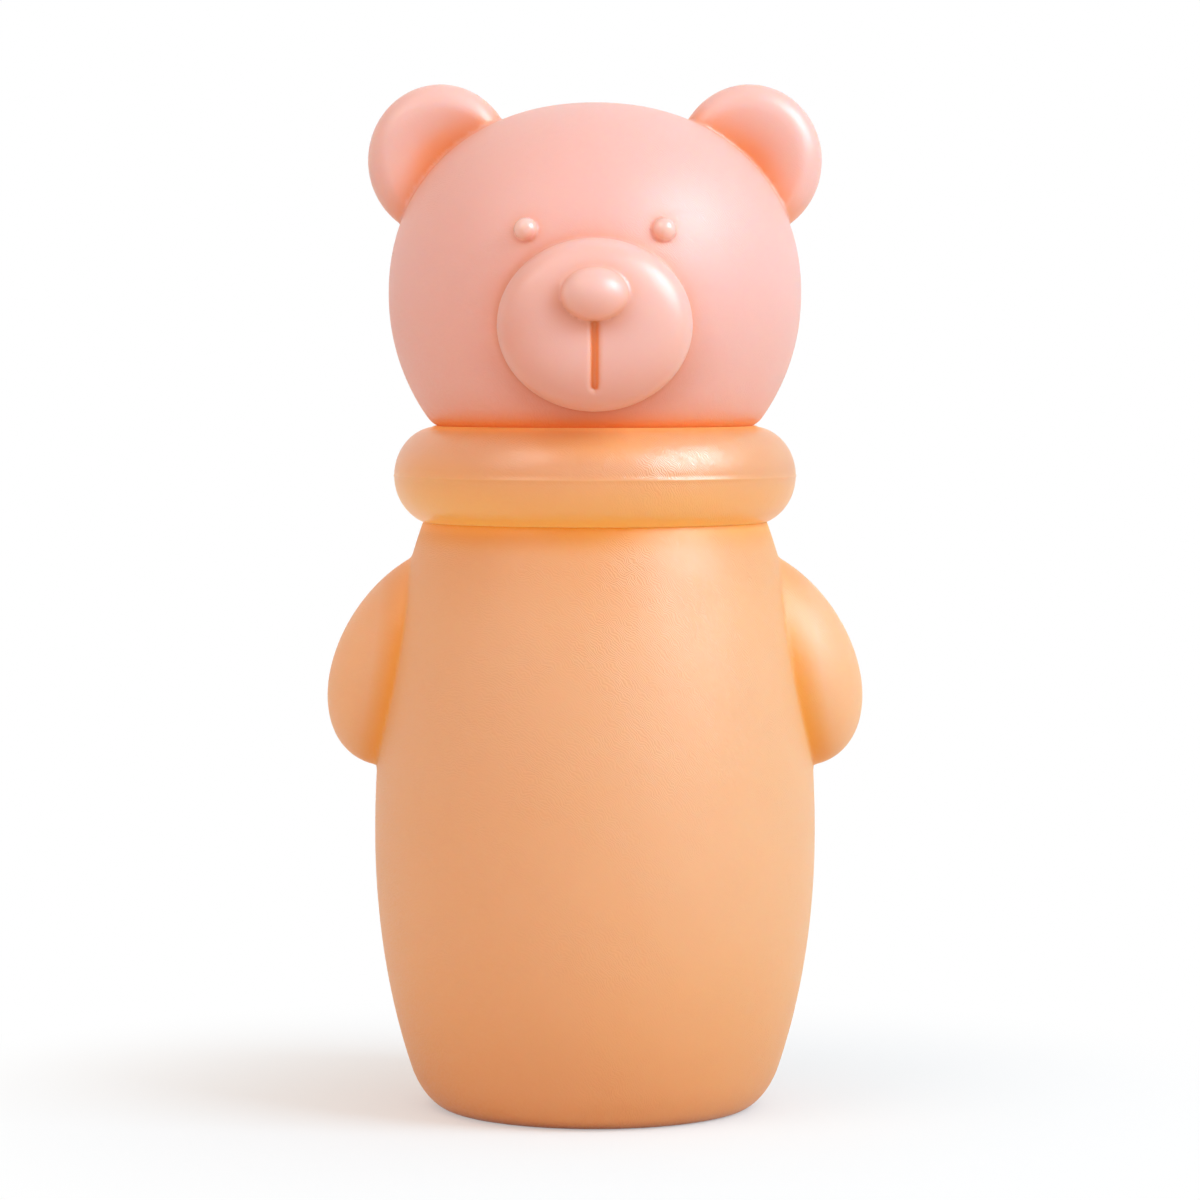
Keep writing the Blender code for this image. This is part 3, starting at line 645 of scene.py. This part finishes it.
def group_tree(name, sockets):
    """A geometry tree with named inputs. Gives its graph, its inputs as flows and its output."""
    tree = bpy.data.node_groups.new(name, "GeometryNodeTree")
    tree.interface.new_socket(name="Geometry", in_out="OUTPUT", socket_type="NodeSocketGeometry")
    for label, kind in sockets:
        tree.interface.new_socket(name=label, in_out="INPUT", socket_type=f"NodeSocket{kind}")
    graph = Graph(tree)
    source = tree.nodes.new("NodeGroupInput")
    inputs = {socket.name: Flow(graph, socket) for socket in source.outputs if socket.name}
    return graph, inputs, tree.nodes.new("NodeGroupOutput")


def turning_tree():
    """Turns an outline, given as points in the XZ plane, about the Z axis."""
    graph, given, result = group_tree(
        "turned form",
        [("Geometry", "Geometry"), ("Steps", "Int"), ("Material", "Material")],
    )
    count = graph.node(
        "GeometryNodeAttributeDomainSize", {"component": "MESH"}, "Point Count",
        Geometry=given["Geometry"],
    )
    steps = given["Steps"]
    grid = graph.node(
        "GeometryNodeMeshGrid", None, "Mesh",
        Size_X=count - 1, Size_Y=steps, Vertices_X=count, Vertices_Y=steps + 1,
    )
    place = graph.node("GeometryNodeInputPosition")
    along = graph.node("ShaderNodeSeparateXYZ", None, "X", Vector=place)
    around = graph.node("ShaderNodeSeparateXYZ", None, "Y", Vector=place)
    row = graph.math("FLOOR", along + (count - 1) / 2 + 0.5)
    point = graph.node(
        "GeometryNodeSampleIndex", {"data_type": "FLOAT_VECTOR"}, "Value",
        Geometry=given["Geometry"], Value=place, Index=row,
    )
    turned_point = graph.node(
        "ShaderNodeVectorRotate", {"rotation_type": "Z_AXIS"}, "Vector",
        Vector=point, Angle=(around + steps / 2) * math.tau / steps,
    )
    form = graph.node("GeometryNodeSetPosition", Geometry=grid, Position=turned_point)
    form = graph.node("GeometryNodeMergeByDistance", Geometry=form, Distance=WELD)
    form = graph.node("GeometryNodeRealizeInstances", Geometry=form)
    form = graph.node("GeometryNodeSetMaterial", Geometry=form, Material=given["Material"])
    graph.feed(result.inputs[0], form)
    return graph.tree


def thread_tree():
    """A screw thread: a ridge that winds up round the Z axis and runs out at both ends."""
    graph, given, result = group_tree(
        "screw thread",
        [
            ("Radius", "Float"), ("Pitch", "Float"), ("Turns", "Float"), ("Start", "Float"),
            ("Facing", "Float"), ("Depth", "Float"), ("Root", "Float"), ("Crest", "Float"),
            ("Steps", "Int"), ("Material", "Material"),
        ],
    )
    spiral = graph.node(
        "GeometryNodeCurveSpiral", None, "Curve", Resolution=given["Steps"],
        Rotations=given["Turns"], Start_Radius=given["Radius"], End_Radius=given["Radius"],
        Height=given["Pitch"] * given["Turns"],
    )
    spiral = graph.node("GeometryNodeSetCurveNormal", {"mode": "Z_UP"}, Curve=spiral)
    share = graph.node("GeometryNodeSplineParameter", None, "Factor")
    run_out = (graph.math("MINIMUM", share, 1 - share) * 14).clamped() * 0.96 + 0.04
    ridge = graph.node(
        "GeometryNodeCurvePrimitiveQuadrilateral", {"mode": "TRAPEZOID"}, "Curve",
        Bottom_Width=given["Root"], Top_Width=given["Crest"], Height=given["Depth"], Offset=0.0,
    )
    facing = graph.node("ShaderNodeCombineXYZ", None, "Vector", Z=given["Facing"])
    ridge = graph.node("GeometryNodeTransform", Geometry=ridge, Rotation=facing)
    form = graph.node(
        "GeometryNodeCurveToMesh", Curve=spiral, Profile_Curve=ridge, Scale=run_out, Fill_Caps=True,
    )
    lifted = graph.node("ShaderNodeCombineXYZ", None, "Vector", Z=given["Start"])
    form = graph.node("GeometryNodeTransform", Geometry=form, Translation=lifted)
    form = graph.node("GeometryNodeRealizeInstances", Geometry=form)
    form = graph.node("GeometryNodeSetMaterial", Geometry=form, Material=given["Material"])
    graph.feed(result.inputs[0], form)
    return graph.tree


def grown(tree, mesh, **inputs):
    """The plain mesh that a geometry tree makes out of a mesh and its named inputs."""
    thing = added("seed", mesh)
    modifier = thing.modifiers.new("form", "NODES")
    modifier.node_group = tree
    for item in tree.interface.items_tree:
        key = item.name.replace(" ", "_")
        if item.in_out == "INPUT" and key in inputs:
            modifier[item.identifier] = inputs[key]
    made = applied(thing)
    bpy.data.objects.remove(thing)
    shape = bmesh.new()
    shape.from_mesh(made)
    bmesh.ops.remove_doubles(shape, verts=shape.verts, dist=WELD)
    bmesh.ops.recalc_face_normals(shape, faces=shape.faces)
    shape.to_mesh(made)
    shape.free()
    made.shade_smooth()
    made.set_sharp_from_angle(angle=SHARP)
    return made


def bend(start, corner, end, steps):
    """Points on the curve that leaves start towards corner and arrives at end from it."""
    result = []
    for step in range(steps + 1):
        t = step / steps
        result.append(tuple(
            (1 - t) ** 2 * a + 2 * t * (1 - t) * b + t * t * c
            for a, b, c in zip(start, corner, end)
        ))
    return result


def rounded(corners, closed=True, steps=4):
    """The outline through corners of (radius, height) or (radius, height, rounding)."""
    result = []
    for i, (radius, height, *size) in enumerate(corners):
        corner = (radius, height)
        if not size or (not closed and i in (0, len(corners) - 1)):
            result.append(corner)
            continue
        ends = []
        for other in (corners[i - 1][:2], corners[(i + 1) % len(corners)][:2]):
            share = min(size[0] / math.dist(corner, other), 0.5)
            ends.append(tuple(a + (b - a) * share for a, b in zip(corner, other)))
        result += bend(ends[0], corner, ends[1], steps)
    return result


def turned(outline, finish, steps=144, closed=True):
    """A mesh turned from an outline in millimetres."""
    points = [*outline, outline[0]] if closed else outline
    mesh = bpy.data.meshes.new("outline")
    mesh.from_pydata([(radius * MM, 0, height * MM) for radius, height in points], [], [])
    return grown(TURNING, mesh, Steps=steps, Material=finish)


def thread(finish, radius, start, turns, facing):
    """A mesh of one half of the coupling's thread, from its sizes in millimetres."""
    sizes = {
        "Radius": radius, "Start": start, "Pitch": 4.0, "Depth": 1.2, "Root": 1.7, "Crest": 0.7,
    }
    return grown(
        THREAD, bpy.data.meshes.new("none"), Turns=turns, Facing=facing, Steps=72,
        Material=finish, **{label: size * MM for label, size in sizes.items()},
    )


TURNING = turning_tree()
THREAD = thread_tree()

# Besides its plain and pale colours, each silicone has a deep one for painted warm shade, a darker
# one for painted dark shade and a bright one for its painted glow.
ORANGE = silicone(
    "orange silicone", plain=colour(242, 177, 127), deep=colour(240, 152, 36),
    pale=colour(248, 192, 146), dimmed=colour(196, 106, 54), light=colour(255, 172, 70),
    bare_rough=0.50, gloss_rough=0.32, grain=0.000021, specular=0.72,
)
AMBER = silicone(
    "amber silicone", plain=colour(238, 166, 116), deep=colour(255, 176, 78),
    pale=colour(241, 171, 121), dimmed=colour(200, 120, 70), light=colour(255, 200, 125),
    bare_rough=0.40, gloss_rough=0.25, grain=0.00011, specular=0.75,
)
PINK = silicone(
    "pink silicone", plain=colour(246, 184, 174), deep=colour(246, 150, 88),
    pale=colour(249, 200, 190), dimmed=colour(200, 100, 50), light=colour(255, 172, 90),
    bare_rough=0.48, gloss_rough=0.26, grain=0.00002, specular=0.6,
)
CLEAR = silicone(
    "clear silicone", plain=colour(238, 234, 228), deep=colour(226, 214, 200),
    pale=colour(240, 237, 232), dimmed=colour(214, 208, 200), light=colour(255, 255, 255),
    bare_rough=0.36, gloss_rough=0.30, grain=0.00001, specular=0.6,
)
FROSTED = hard_plastic("frosted plastic", colour(240, 238, 232), colour(232, 229, 221), 0.36)
HARD_ORANGE = hard_plastic(
    "hard orange plastic", colour(236, 178, 136), colour(231, 168, 122), 0.33
)


# Pieces


def build_bottle():
    """The orange bottle with its arms and its neck."""
    lines = (
        both_sides((0, 18, 0.85), (18, 39, 0.5)),
        lattice((-33, -12, 0.8), (-12, 12, 0.65), (12, 33, 1.1)),
        lattice((-1, 7, 0.6), (7, 48, 0.95), (48, 80, 0.55), (80, 89.2, 0.4)),
    )
    mesh = skin(bottle, lines)
    thing = placed("bottle_skin", mesh, ORANGE, "bottle", "orange_silicone", "squeeze_bottle")

    def polish(points):
        lobe, trunk = arm(*points.T), belly(*points.T)
        return 0.1 * np.clip(0.5 + (trunk - lobe) / 1.2, 0, 1) * (lobe < 1)

    # Painted warm shade: in the crease beside each arm, fading towards its top, as the collar's
    # cast shadow just below it, towards the foot and spread wider below the collar; taken away on
    # the arms' outer parts.
    def extra_painted_shade(points):
        x, y, z = points.T
        lobe, trunk = on_arm(x, y, z), belly(x, y, z)
        crease_shade = lobe * fading(trunk, np.where(x > 0, 3.0, 2.4)) * eased((79 - z) / 12)
        # Painted light: the collar's shadow band is painted weaker towards the right, where the
        # lamp falls.
        lit = 1 - 0.5 * eased((x + 6) / 30)
        collar_shadow = lit * fading(COLLAR_SEAM - z, 2.6, 3)
        foot = 0.25 * fading(np.abs(z), 20)
        deep = 0.25 * fading(COLLAR_SEAM - z, 10)
        warm = 1 - (1 - crease_shade) * (1 - 0.9 * collar_shadow) * (1 - deep) * (1 - foot)
        return warm - lobe * eased((trunk - 1.5) / 6)

    # Painted glow: emission in the arms' creases, along the seam under the collar and faintly on
    # the arms' outer parts.
    def glow(points):
        x, y, z = points.T
        lobe, trunk = on_arm(x, y, z), belly(x, y, z)
        seam = (z < 83) * fading(COLLAR_SEAM - z, 0.9)
        outer = lobe * np.clip((trunk - 2) / 3, 0, 1)
        return 0.2 * lobe * fading(trunk, 1.6) + 0.45 * seam + 0.12 * outer

    # Painted shade: darker towards the foot, most at the very bottom, and a little below the
    # collar.
    def shade(points):
        z = points[:, 2]
        foot = 0.25 * fading(np.abs(z), 13) + 0.5 * fading(np.abs(z), 0.9)
        return foot + 0.08 * fading(np.abs(z - 77), 5) * (z < 83)

    return with_painted_light(thing, polish, extra_painted_shade, glow, shade)


def build_head():
    """The pink head. Its lattice is finest at the groove, the eyes and the ears."""
    lines = (
        both_sides((0, 3, 0.26), (3, 7, 0.5), (7, 11.5, 0.32), (11.5, 16, 0.55), (16, 34, 0.54)),
        lattice(
            (-39.5, -28.5, 0.5), (-28.5, -24, 0.32), (-24, -5, 0.9), (-5, 6, 0.42), (6, 31.5, 1.6)
        ),
        lattice((94.7, 120.2, 0.5), (120.2, 125, 0.32), (125, 145, 0.48)),
    )
    mesh = skin(head, lines)
    thing = placed("head_skin", mesh, PINK, "cover", "pink_silicone", "head_cover")

    def polish(points):
        bare = np.clip((skull(*points.T) - 0.15) / 0.5, 0, 1)
        return np.where(eyes(*points.T) < 0.15, 1.0, 0.45) * bare

    # Painted warm shade: in the ears' dishes, more on the left ear, in the crease where the ears
    # meet the skull, along the rim above the collar, most under the muzzle, and in the mouth
    # groove; taken away on the ears' outer parts and on the eyes.
    def extra_painted_shade(points):
        x, y, z = points.T
        off_skull = skull(x, y, z)
        bare = np.clip(off_skull / 0.4, 0, 1)
        at_ears = np.abs(x) > 13
        side, up = np.abs(x) - EAR_PLACE[0] + 1.2, z - EAR_PLACE[2] + 0.6
        dish = (y < 1) * bare * fading(np.hypot(side, up), 4.6) * np.where(x < 0, 0.75, 0.5)
        crease_shade = bare * at_ears * fading(off_skull, 2.2)
        rim = fading(z - RIM_SHADE_LINE, 1.5) * (0.25 + 0.65 * (y < 0) * fading(np.abs(x + 3), 12))
        slot = 0.85 * in_groove(x, y, z)
        warm = 1 - (1 - dish) * (1 - 0.2 * crease_shade) * (1 - rim) * (1 - slot)
        warm -= 0.55 * at_ears * np.clip((off_skull - 2.5) / 4, 0, 1)
        return np.where(eyes(x, y, z) < 0.08, -0.5, warm)

    # Painted glow along the rim above the collar and in the mouth groove.
    def glow(points):
        return 0.12 * fading(points[:, 2] - RIM_SHADE_LINE, 0.7) + 0.15 * in_groove(*points.T)

    # Painted shadow of the muzzle on the skull below it, painted shadow under the nose, and painted
    # shade on the muzzle's left and lower parts.
    def shade(points):
        x, y, z = points.T
        off_muzzle = muzzle(x, y, z)
        behind = fading(off_muzzle, 4.0) * np.clip(1 - skull(x, y, z) / 0.5, 0, 1)
        below = np.clip((109 - z) / 9, 0, 1) * (y < -15)
        nose = fading(egg(x, y, z, NOSE_PLACE, NOSE_HALF), 1.8) * (off_muzzle < 0.1)
        under_nose = 0.38 * nose * np.clip((114.5 - z - 0.3 * x) / 4, 0, 1)
        muzzle_side = 1 - (1 - eased((-x - 2) / 10)) * (1 - eased((108 - z) / 8))
        muzzle_side *= 0.2 * (y < -20) * eased(1.5 - np.abs(off_muzzle))
        return 0.42 * behind * below + under_nose + muzzle_side

    return with_painted_light(thing, polish, extra_painted_shade, glow, shade)


def build_sleeve():
    """The soft ring round the collar, with the flash line of its mould."""
    bulge = []
    for step in range(61):
        turn = math.pi * (0.5 - step / 60)
        radius = SLEEVE_CENTRE + SLEEVE_HALF[0] * math.cos(turn)
        height = SLEEVE_MIDDLE + SLEEVE_HALF[1] * math.sin(turn)
        bulge.append((radius, height))
    equator = SLEEVE_CENTRE + SLEEVE_HALF[0]
    bulge[29:32] = [
        (equator + proud, SLEEVE_MIDDLE + up)
        for proud, up in ((0, 0.2), (0.06, 0.11), (0.08, 0), (0.06, -0.11), (0, -0.2))
    ]
    slots = []
    for height in RIB_HEIGHTS:
        slots += [
            (23.5, height - 0.8), (24.1, height - 0.8), (24.1, height + 0.8), (23.5, height + 0.8)
        ]
    outline = [
        (19.3, 95.8, 0.3), (20.5, 95.88), (22.6, 95.88), *bulge[3:], (21.6, 82.0, 0.3),
        (21.6, 83.2, 0.3), (23.5, 83.2), *slots, (23.5, 94.6), (19.3, 94.6, 0.3),
    ]
    mesh = turned(rounded(outline, steps=2), AMBER, 240)
    thing = placed("collar_skin", mesh, AMBER, "collar", "amber_silicone", "collar_sleeve")

    # Painted warm shade: deeper on the lower half and on the left, less at the top.
    def extra_painted_shade(points):
        low = np.clip((SLEEVE_MIDDLE + 1 - points[:, 2]) / 7, 0, 1)
        left = 0.35 * eased((-points[:, 0] - 4) / 22)
        return 0.75 * low + left - 0.4 * np.clip((points[:, 2] - 90) / 3, 0, 1)

    # Painted glow: on the lower half, along the seam with the bottle, at the top under the head,
    # and most in front at the top.
    def glow(points):
        across, z = np.hypot(points[:, 0], points[:, 1]), points[:, 2]
        low = np.clip((SLEEVE_MIDDLE + 1 - z) / 5, 0, 1)
        seam = fading(z - COLLAR_SEAM - 0.1, 0.8)
        top = (z > 93) * fading(across - 22.8, 1.2)
        middle = fading(np.abs(points[:, 0]), 8) * (points[:, 1] < 0)
        return 0.2 * low + 0.3 * seam + 0.45 * top + 0.35 * middle * np.clip((z - 91) / 2, 0, 1)

    # The flash line's ridge is polished more: smoother, and slightly paler as a painted highlight.
    def polish(points):
        ridge = np.hypot(points[:, 0], points[:, 1]) > equator + 0.02
        return np.where(ridge, 0.65, 0.5)

    # Painted shade: darker towards the right.
    def shade(points):
        return 0.16 * eased((points[:, 0] - 10) / 14)

    return with_painted_light(thing, polish, extra_painted_shade, glow, shade)


def build_collar_ring():
    """The hard screw ring inside the collar, and its thread."""
    ribs = []
    for height in RIB_HEIGHTS:
        ribs += [
            (23.2, height - 0.5), (23.8, height - 0.5, 0.2), (23.8, height + 0.5, 0.2),
            (23.2, height + 0.5),
        ]
    outline = [
        (17.0, 99.8, 0.6), (17.0, 92.8, 0.3), (21.6, 92.8), (21.6, 91.0), (21.0, 90.4, 0.3),
        (21.0, 90.0, 0.3), (21.6, 89.4), (21.6, 83.5, 0.4), (23.2, 83.5, 0.3), *ribs,
        (23.2, 94.3, 0.3), (19.0, 94.3), (19.0, 97.2), (19.5, 97.7, 0.4), (19.5, 98.7, 0.4),
        (19.0, 99.2), (19.0, 99.8, 0.3),
    ]
    mesh = turned(rounded(outline), HARD_ORANGE)
    placed("collar_core", mesh, HARD_ORANGE, "collar", "hard_orange_plastic", "collar_ring")
    mesh = thread(HARD_ORANGE, radius=21.2, start=84.5, turns=1.1, facing=math.pi / 2)
    placed("collar_thread", mesh, HARD_ORANGE, "collar", "hard_orange_plastic")


def build_neck():
    """The neck's thread, and the hard liner in the neck."""
    mesh = thread(ORANGE, radius=20.35, start=82.7, turns=1.05, facing=-math.pi / 2)
    with_painted_light(placed("neck_thread", mesh, ORANGE, "bottle", "orange_silicone"), 0.5)
    outline = [
        (15.2, 81.5, 0.5), (16.7, 81.5, 0.4), (16.7, 83.6), (17.5, 84.4, 0.3), (17.5, 86.0, 0.3),
        (16.7, 86.8), (16.7, 88.3), (20.0, 88.3, 0.3), (20.0, 89.5, 0.4), (15.2, 89.5, 0.4),
    ]
    mesh = turned(rounded(outline), FROSTED)
    placed("liner_skin", mesh, FROSTED, "bottle", "frosted_plastic", "neck_liner")


def build_seal():
    """The soft ring between the liner and the nozzle."""
    outline = [(15.6, 89.8, 0.45), (19.6, 89.8, 0.45), (19.6, 91.0, 0.45), (15.6, 91.0, 0.45)]
    mesh = turned(rounded(outline), CLEAR)
    with_painted_light(placed("seal_skin", mesh, CLEAR, "seal", "clear_silicone", "neck_seal"), 1.0)


def build_nozzle():
    """The nozzle and the snap ring under its valve."""
    outline = [
        (2.4, 106.0, 0.3), (2.4, 98.0, 0.5), (9.9, 92.2, 0.5), (9.9, 91.9), (13.5, 91.9),
        (13.5, 90.4), (14.0, 89.9), (14.0, 88.5), (13.5, 88.0), (13.5, 86.3, 0.4),
        (14.9, 86.3, 0.4), (14.9, 91.3), (21.3, 91.3, 0.3), (21.3, 92.5, 0.4), (12.5, 92.5, 0.8),
        (4.8, 98.0, 0.8), (4.4, 98.0), (4.4, 102.2), (4.7, 102.5, 0.3), (4.7, 104.3, 0.3),
        (4.4, 104.6), (4.4, 106.0, 0.4),
    ]
    mesh = turned(rounded(outline), FROSTED)
    placed("nozzle_skin", mesh, FROSTED, "nozzle", "frosted_plastic", "nozzle_base")
    outline = [
        (9.4, 88.3, 0.3), (13.2, 88.3, 0.3), (13.2, 88.6), (13.7, 89.1, 0.2), (13.7, 89.3, 0.2),
        (13.2, 89.8), (13.2, 90.1), (9.4, 90.1, 0.3),
    ]
    mesh = turned(rounded(outline), FROSTED)
    placed("retainer_skin", mesh, FROSTED, "nozzle", "frosted_plastic", "valve_retainer")


def crossed_slit():
    """The object that cuts the slit: a thin upright cross."""
    length, width, low, high = 4.0 * MM, 0.15 * MM, 90 * MM, 97 * MM
    corner = [(width, width), (length, width), (length, -width)]
    cross = list(corner)
    for _ in range(3):
        corner = [(y, -x) for x, y in corner]
        cross += corner
    shape = bmesh.new()
    flat = shape.faces.new([shape.verts.new((x, y, low)) for x, y in cross])
    for part in bmesh.ops.extrude_face_region(shape, geom=[flat])["geom"]:
        if isinstance(part, bmesh.types.BMVert):
            part.co.z = high
    bmesh.ops.recalc_face_normals(shape, faces=shape.faces[:])
    mesh = bpy.data.meshes.new("slit")
    shape.to_mesh(mesh)
    shape.free()
    return added("slit", mesh)


def build_valve():
    """The soft cap in the nozzle, with its crossed slit."""
    outline = [
        (0, 93.8), (4.8, 93.8, 1.5), (9.6, 91.6, 0.4), (13.2, 91.6, 0.2), (13.2, 90.4, 0.2),
        (8.9, 90.4, 0.5), (4.45, 93.1, 1.5), (0, 93.1),
    ]
    mesh = turned(rounded(outline, closed=False), CLEAR, 90, closed=False)
    thing = placed("valve_skin", mesh, CLEAR, "nozzle", "clear_silicone", "flow_valve")
    cutter = crossed_slit()
    modifier = thing.modifiers.new("slit", "BOOLEAN")
    modifier.operation = "DIFFERENCE"
    modifier.solver = "EXACT"
    modifier.object = cutter
    cut = applied(thing)
    thing.modifiers.remove(modifier)
    bpy.data.objects.remove(cutter)
    thing.data = cut
    cut.set_sharp_from_angle(angle=SHARP)
    with_painted_light(thing, 1.0)


def spoon(x, y, z):
    """Sleeve, stem and bowl, with the channel up into the bowl."""
    across = np.hypot(x, y)
    radius = 7.2 - 3.0 * eased((z - 102.3) / 9.5)
    stem = common((across - radius) * 0.93, np.maximum(98.3 - z, z - 114.5), 0.7)
    middle = (0, -1.5, 123.5)
    back = egg(x, y, z, middle, (10.8, 6.4, 12.0))
    scoop = egg(x, y, z, middle, (9.4, 5.0, 10.6))
    bowl = common(back, -2.1 - y, 0.5)
    form = joined(bowl, stem, 2.0)
    form = common(form, -scoop, 0.5)
    groove = np.clip(1.2 - np.abs(z - 103.4), 0, 0.3)
    bore = np.maximum(across - 5.0 - groove, z - 106.3)
    channel = np.maximum(across - 1.7, z - 117)
    return common(form, -joined(bore, channel, 0.6), 0.4)


def build_spoon():
    """The soft spoon under the head."""
    lines = (
        both_sides((0, 12, 0.33)),
        lattice((-8, 8, 0.33)),
        lattice((97, 118, 0.36), (118, 137, 0.4)),
    )
    thing = placed("spoon_skin", skin(spoon, lines), PINK, "spoon", "pink_silicone", "soft_spoon")
    with_painted_light(thing, 0.8)


build_bottle()
build_neck()
build_seal()
build_nozzle()
build_valve()
build_collar_ring()
build_sleeve()
build_spoon()
build_head()


# Floor, light and camera

MIDDLE = (0, 0, 0.09)
KEY_PLACE = (0.76, -0.41, 0.70)
CREAM = (1.0, 0.86, 0.74)


def build_floor():
    """A pale floor that keeps the soft shadow near the bottle and fades to white further out."""
    made = bpy.data.materials.new("pale floor")
    made.use_nodes = True
    graph = Graph(made.node_tree)
    made.node_tree.nodes.clear()
    place = graph.node("ShaderNodeTexCoord", None, "Object")
    across = graph.node("ShaderNodeVectorMath", {"operation": "LENGTH"}, "Value", Vector=place)
    seen = graph.node("ShaderNodeLightPath", None, "Is Camera Ray")
    seen = (seen + Flow(graph, seen.socket.node.outputs["Is Glossy Ray"])).clamped()
    near = graph.node("ShaderNodeBsdfDiffuse", None, "BSDF", Color=(0.91, 0.93, 0.96, 1))
    dimmed = graph.node("ShaderNodeBsdfDiffuse", None, "BSDF", Color=(0.80, 0.76, 0.73, 1))
    white = graph.node("ShaderNodeEmission", None, "Emission", Color=(1, 1, 1, 1), Strength=1.0)
    far = across.rising(0.03, 0.11) * 0.62 + 0.38
    output = made.node_tree.nodes.new("ShaderNodeOutputMaterial")
    graph.feed(output.inputs["Surface"], graph.blend(seen, dimmed, graph.blend(far, near, white)))
    shape = bmesh.new()
    bmesh.ops.create_grid(shape, x_segments=8, y_segments=8, size=6.0)
    mesh = bpy.data.meshes.new("floor")
    shape.to_mesh(mesh)
    shape.free()
    mesh.materials.append(made)
    added("floor", mesh)


def build_world():
    """Even soft light, and plain white where the camera or a reflection looks past the bottle."""
    world = bpy.data.worlds.new("studio")
    bpy.context.scene.world = world
    world.use_nodes = True
    graph = Graph(world.node_tree)
    world.node_tree.nodes.clear()
    seen = graph.node("ShaderNodeLightPath", None, "Is Camera Ray")
    paths = seen.socket.node.outputs
    mirror = Flow(graph, paths["Is Glossy Ray"]) + Flow(graph, paths["Is Transmission Ray"])
    soft, white = (
        graph.node("ShaderNodeBackground", None, "Background", Color=tint, Strength=strength)
        for tint, strength in (((1, 0.90, 0.81, 1), 0.64), ((1, 1, 1, 1), 1.0))
    )
    output = world.node_tree.nodes.new("ShaderNodeOutputWorld")
    graph.feed(output.inputs["Surface"], graph.blend((seen + mirror).clamped(), soft, white))


def lamp(name, place, size, power, tint=(1, 1, 1), aim=MIDDLE, diffuse=True, sheen=True):
    """A soft square lamp that looks at aim, and lights matt surfaces, highlights or both."""
    data = bpy.data.lights.new(name, "AREA")
    data.shape = "SQUARE"
    data.size = size
    data.energy = power
    data.color = tint
    thing = added(name, data)
    thing.location = place
    x, y, z = np.array(aim) - np.array(place)
    drop = math.atan2(math.hypot(x, y), -z)
    thing.rotation_euler = (drop, 0, math.atan2(y, x) - math.pi / 2)
    thing.visible_diffuse = diffuse
    thing.visible_glossy = sheen


def build_camera():
    """A little above the bottle's middle, as far off as the photograph's perspective says."""
    pixel, height = 0.000141, 0.1043  # metres
    picture, away = 1200, 4300  # pixels: the frame's side and the distance
    axis, level_row = 595, 366.3  # pixels: the bottle's axis and the row level with the camera
    zoom = 1.003
    data = bpy.data.cameras.new("camera")
    data.sensor_width = 36
    data.lens = data.sensor_width * away * zoom / picture
    data.clip_start = 0.01
    data.clip_end = 50
    thing = added("camera", data)
    thing.location = ((picture / 2 - axis) * pixel, -away * pixel, height)
    thing.rotation_euler = (math.pi / 2 - math.atan((picture / 2 - level_row) / away), 0, 0)
    bpy.context.scene.camera = thing


build_floor()
build_world()
lamp("key", KEY_PLACE, 0.55, 7.5, (0.64, 0.95, 1.14), sheen=False)
lamp("sheen", KEY_PLACE, 0.6, 18.5, (0.94, 0.97, 1.09), diffuse=False)
lamp("fill", (-0.50, -0.50, 0.95), 0.6, 2.0, CREAM)
lamp("left sheen", (-0.62, -0.55, 0.72), 0.45, 1.6, diffuse=False)
lamp("low fill", (-0.35, -0.80, 0.10), 0.6, 0.6, CREAM, aim=(0, 0, 0.08), sheen=False)
build_camera()
bpy.context.scene.view_settings.view_transform = "Standard"
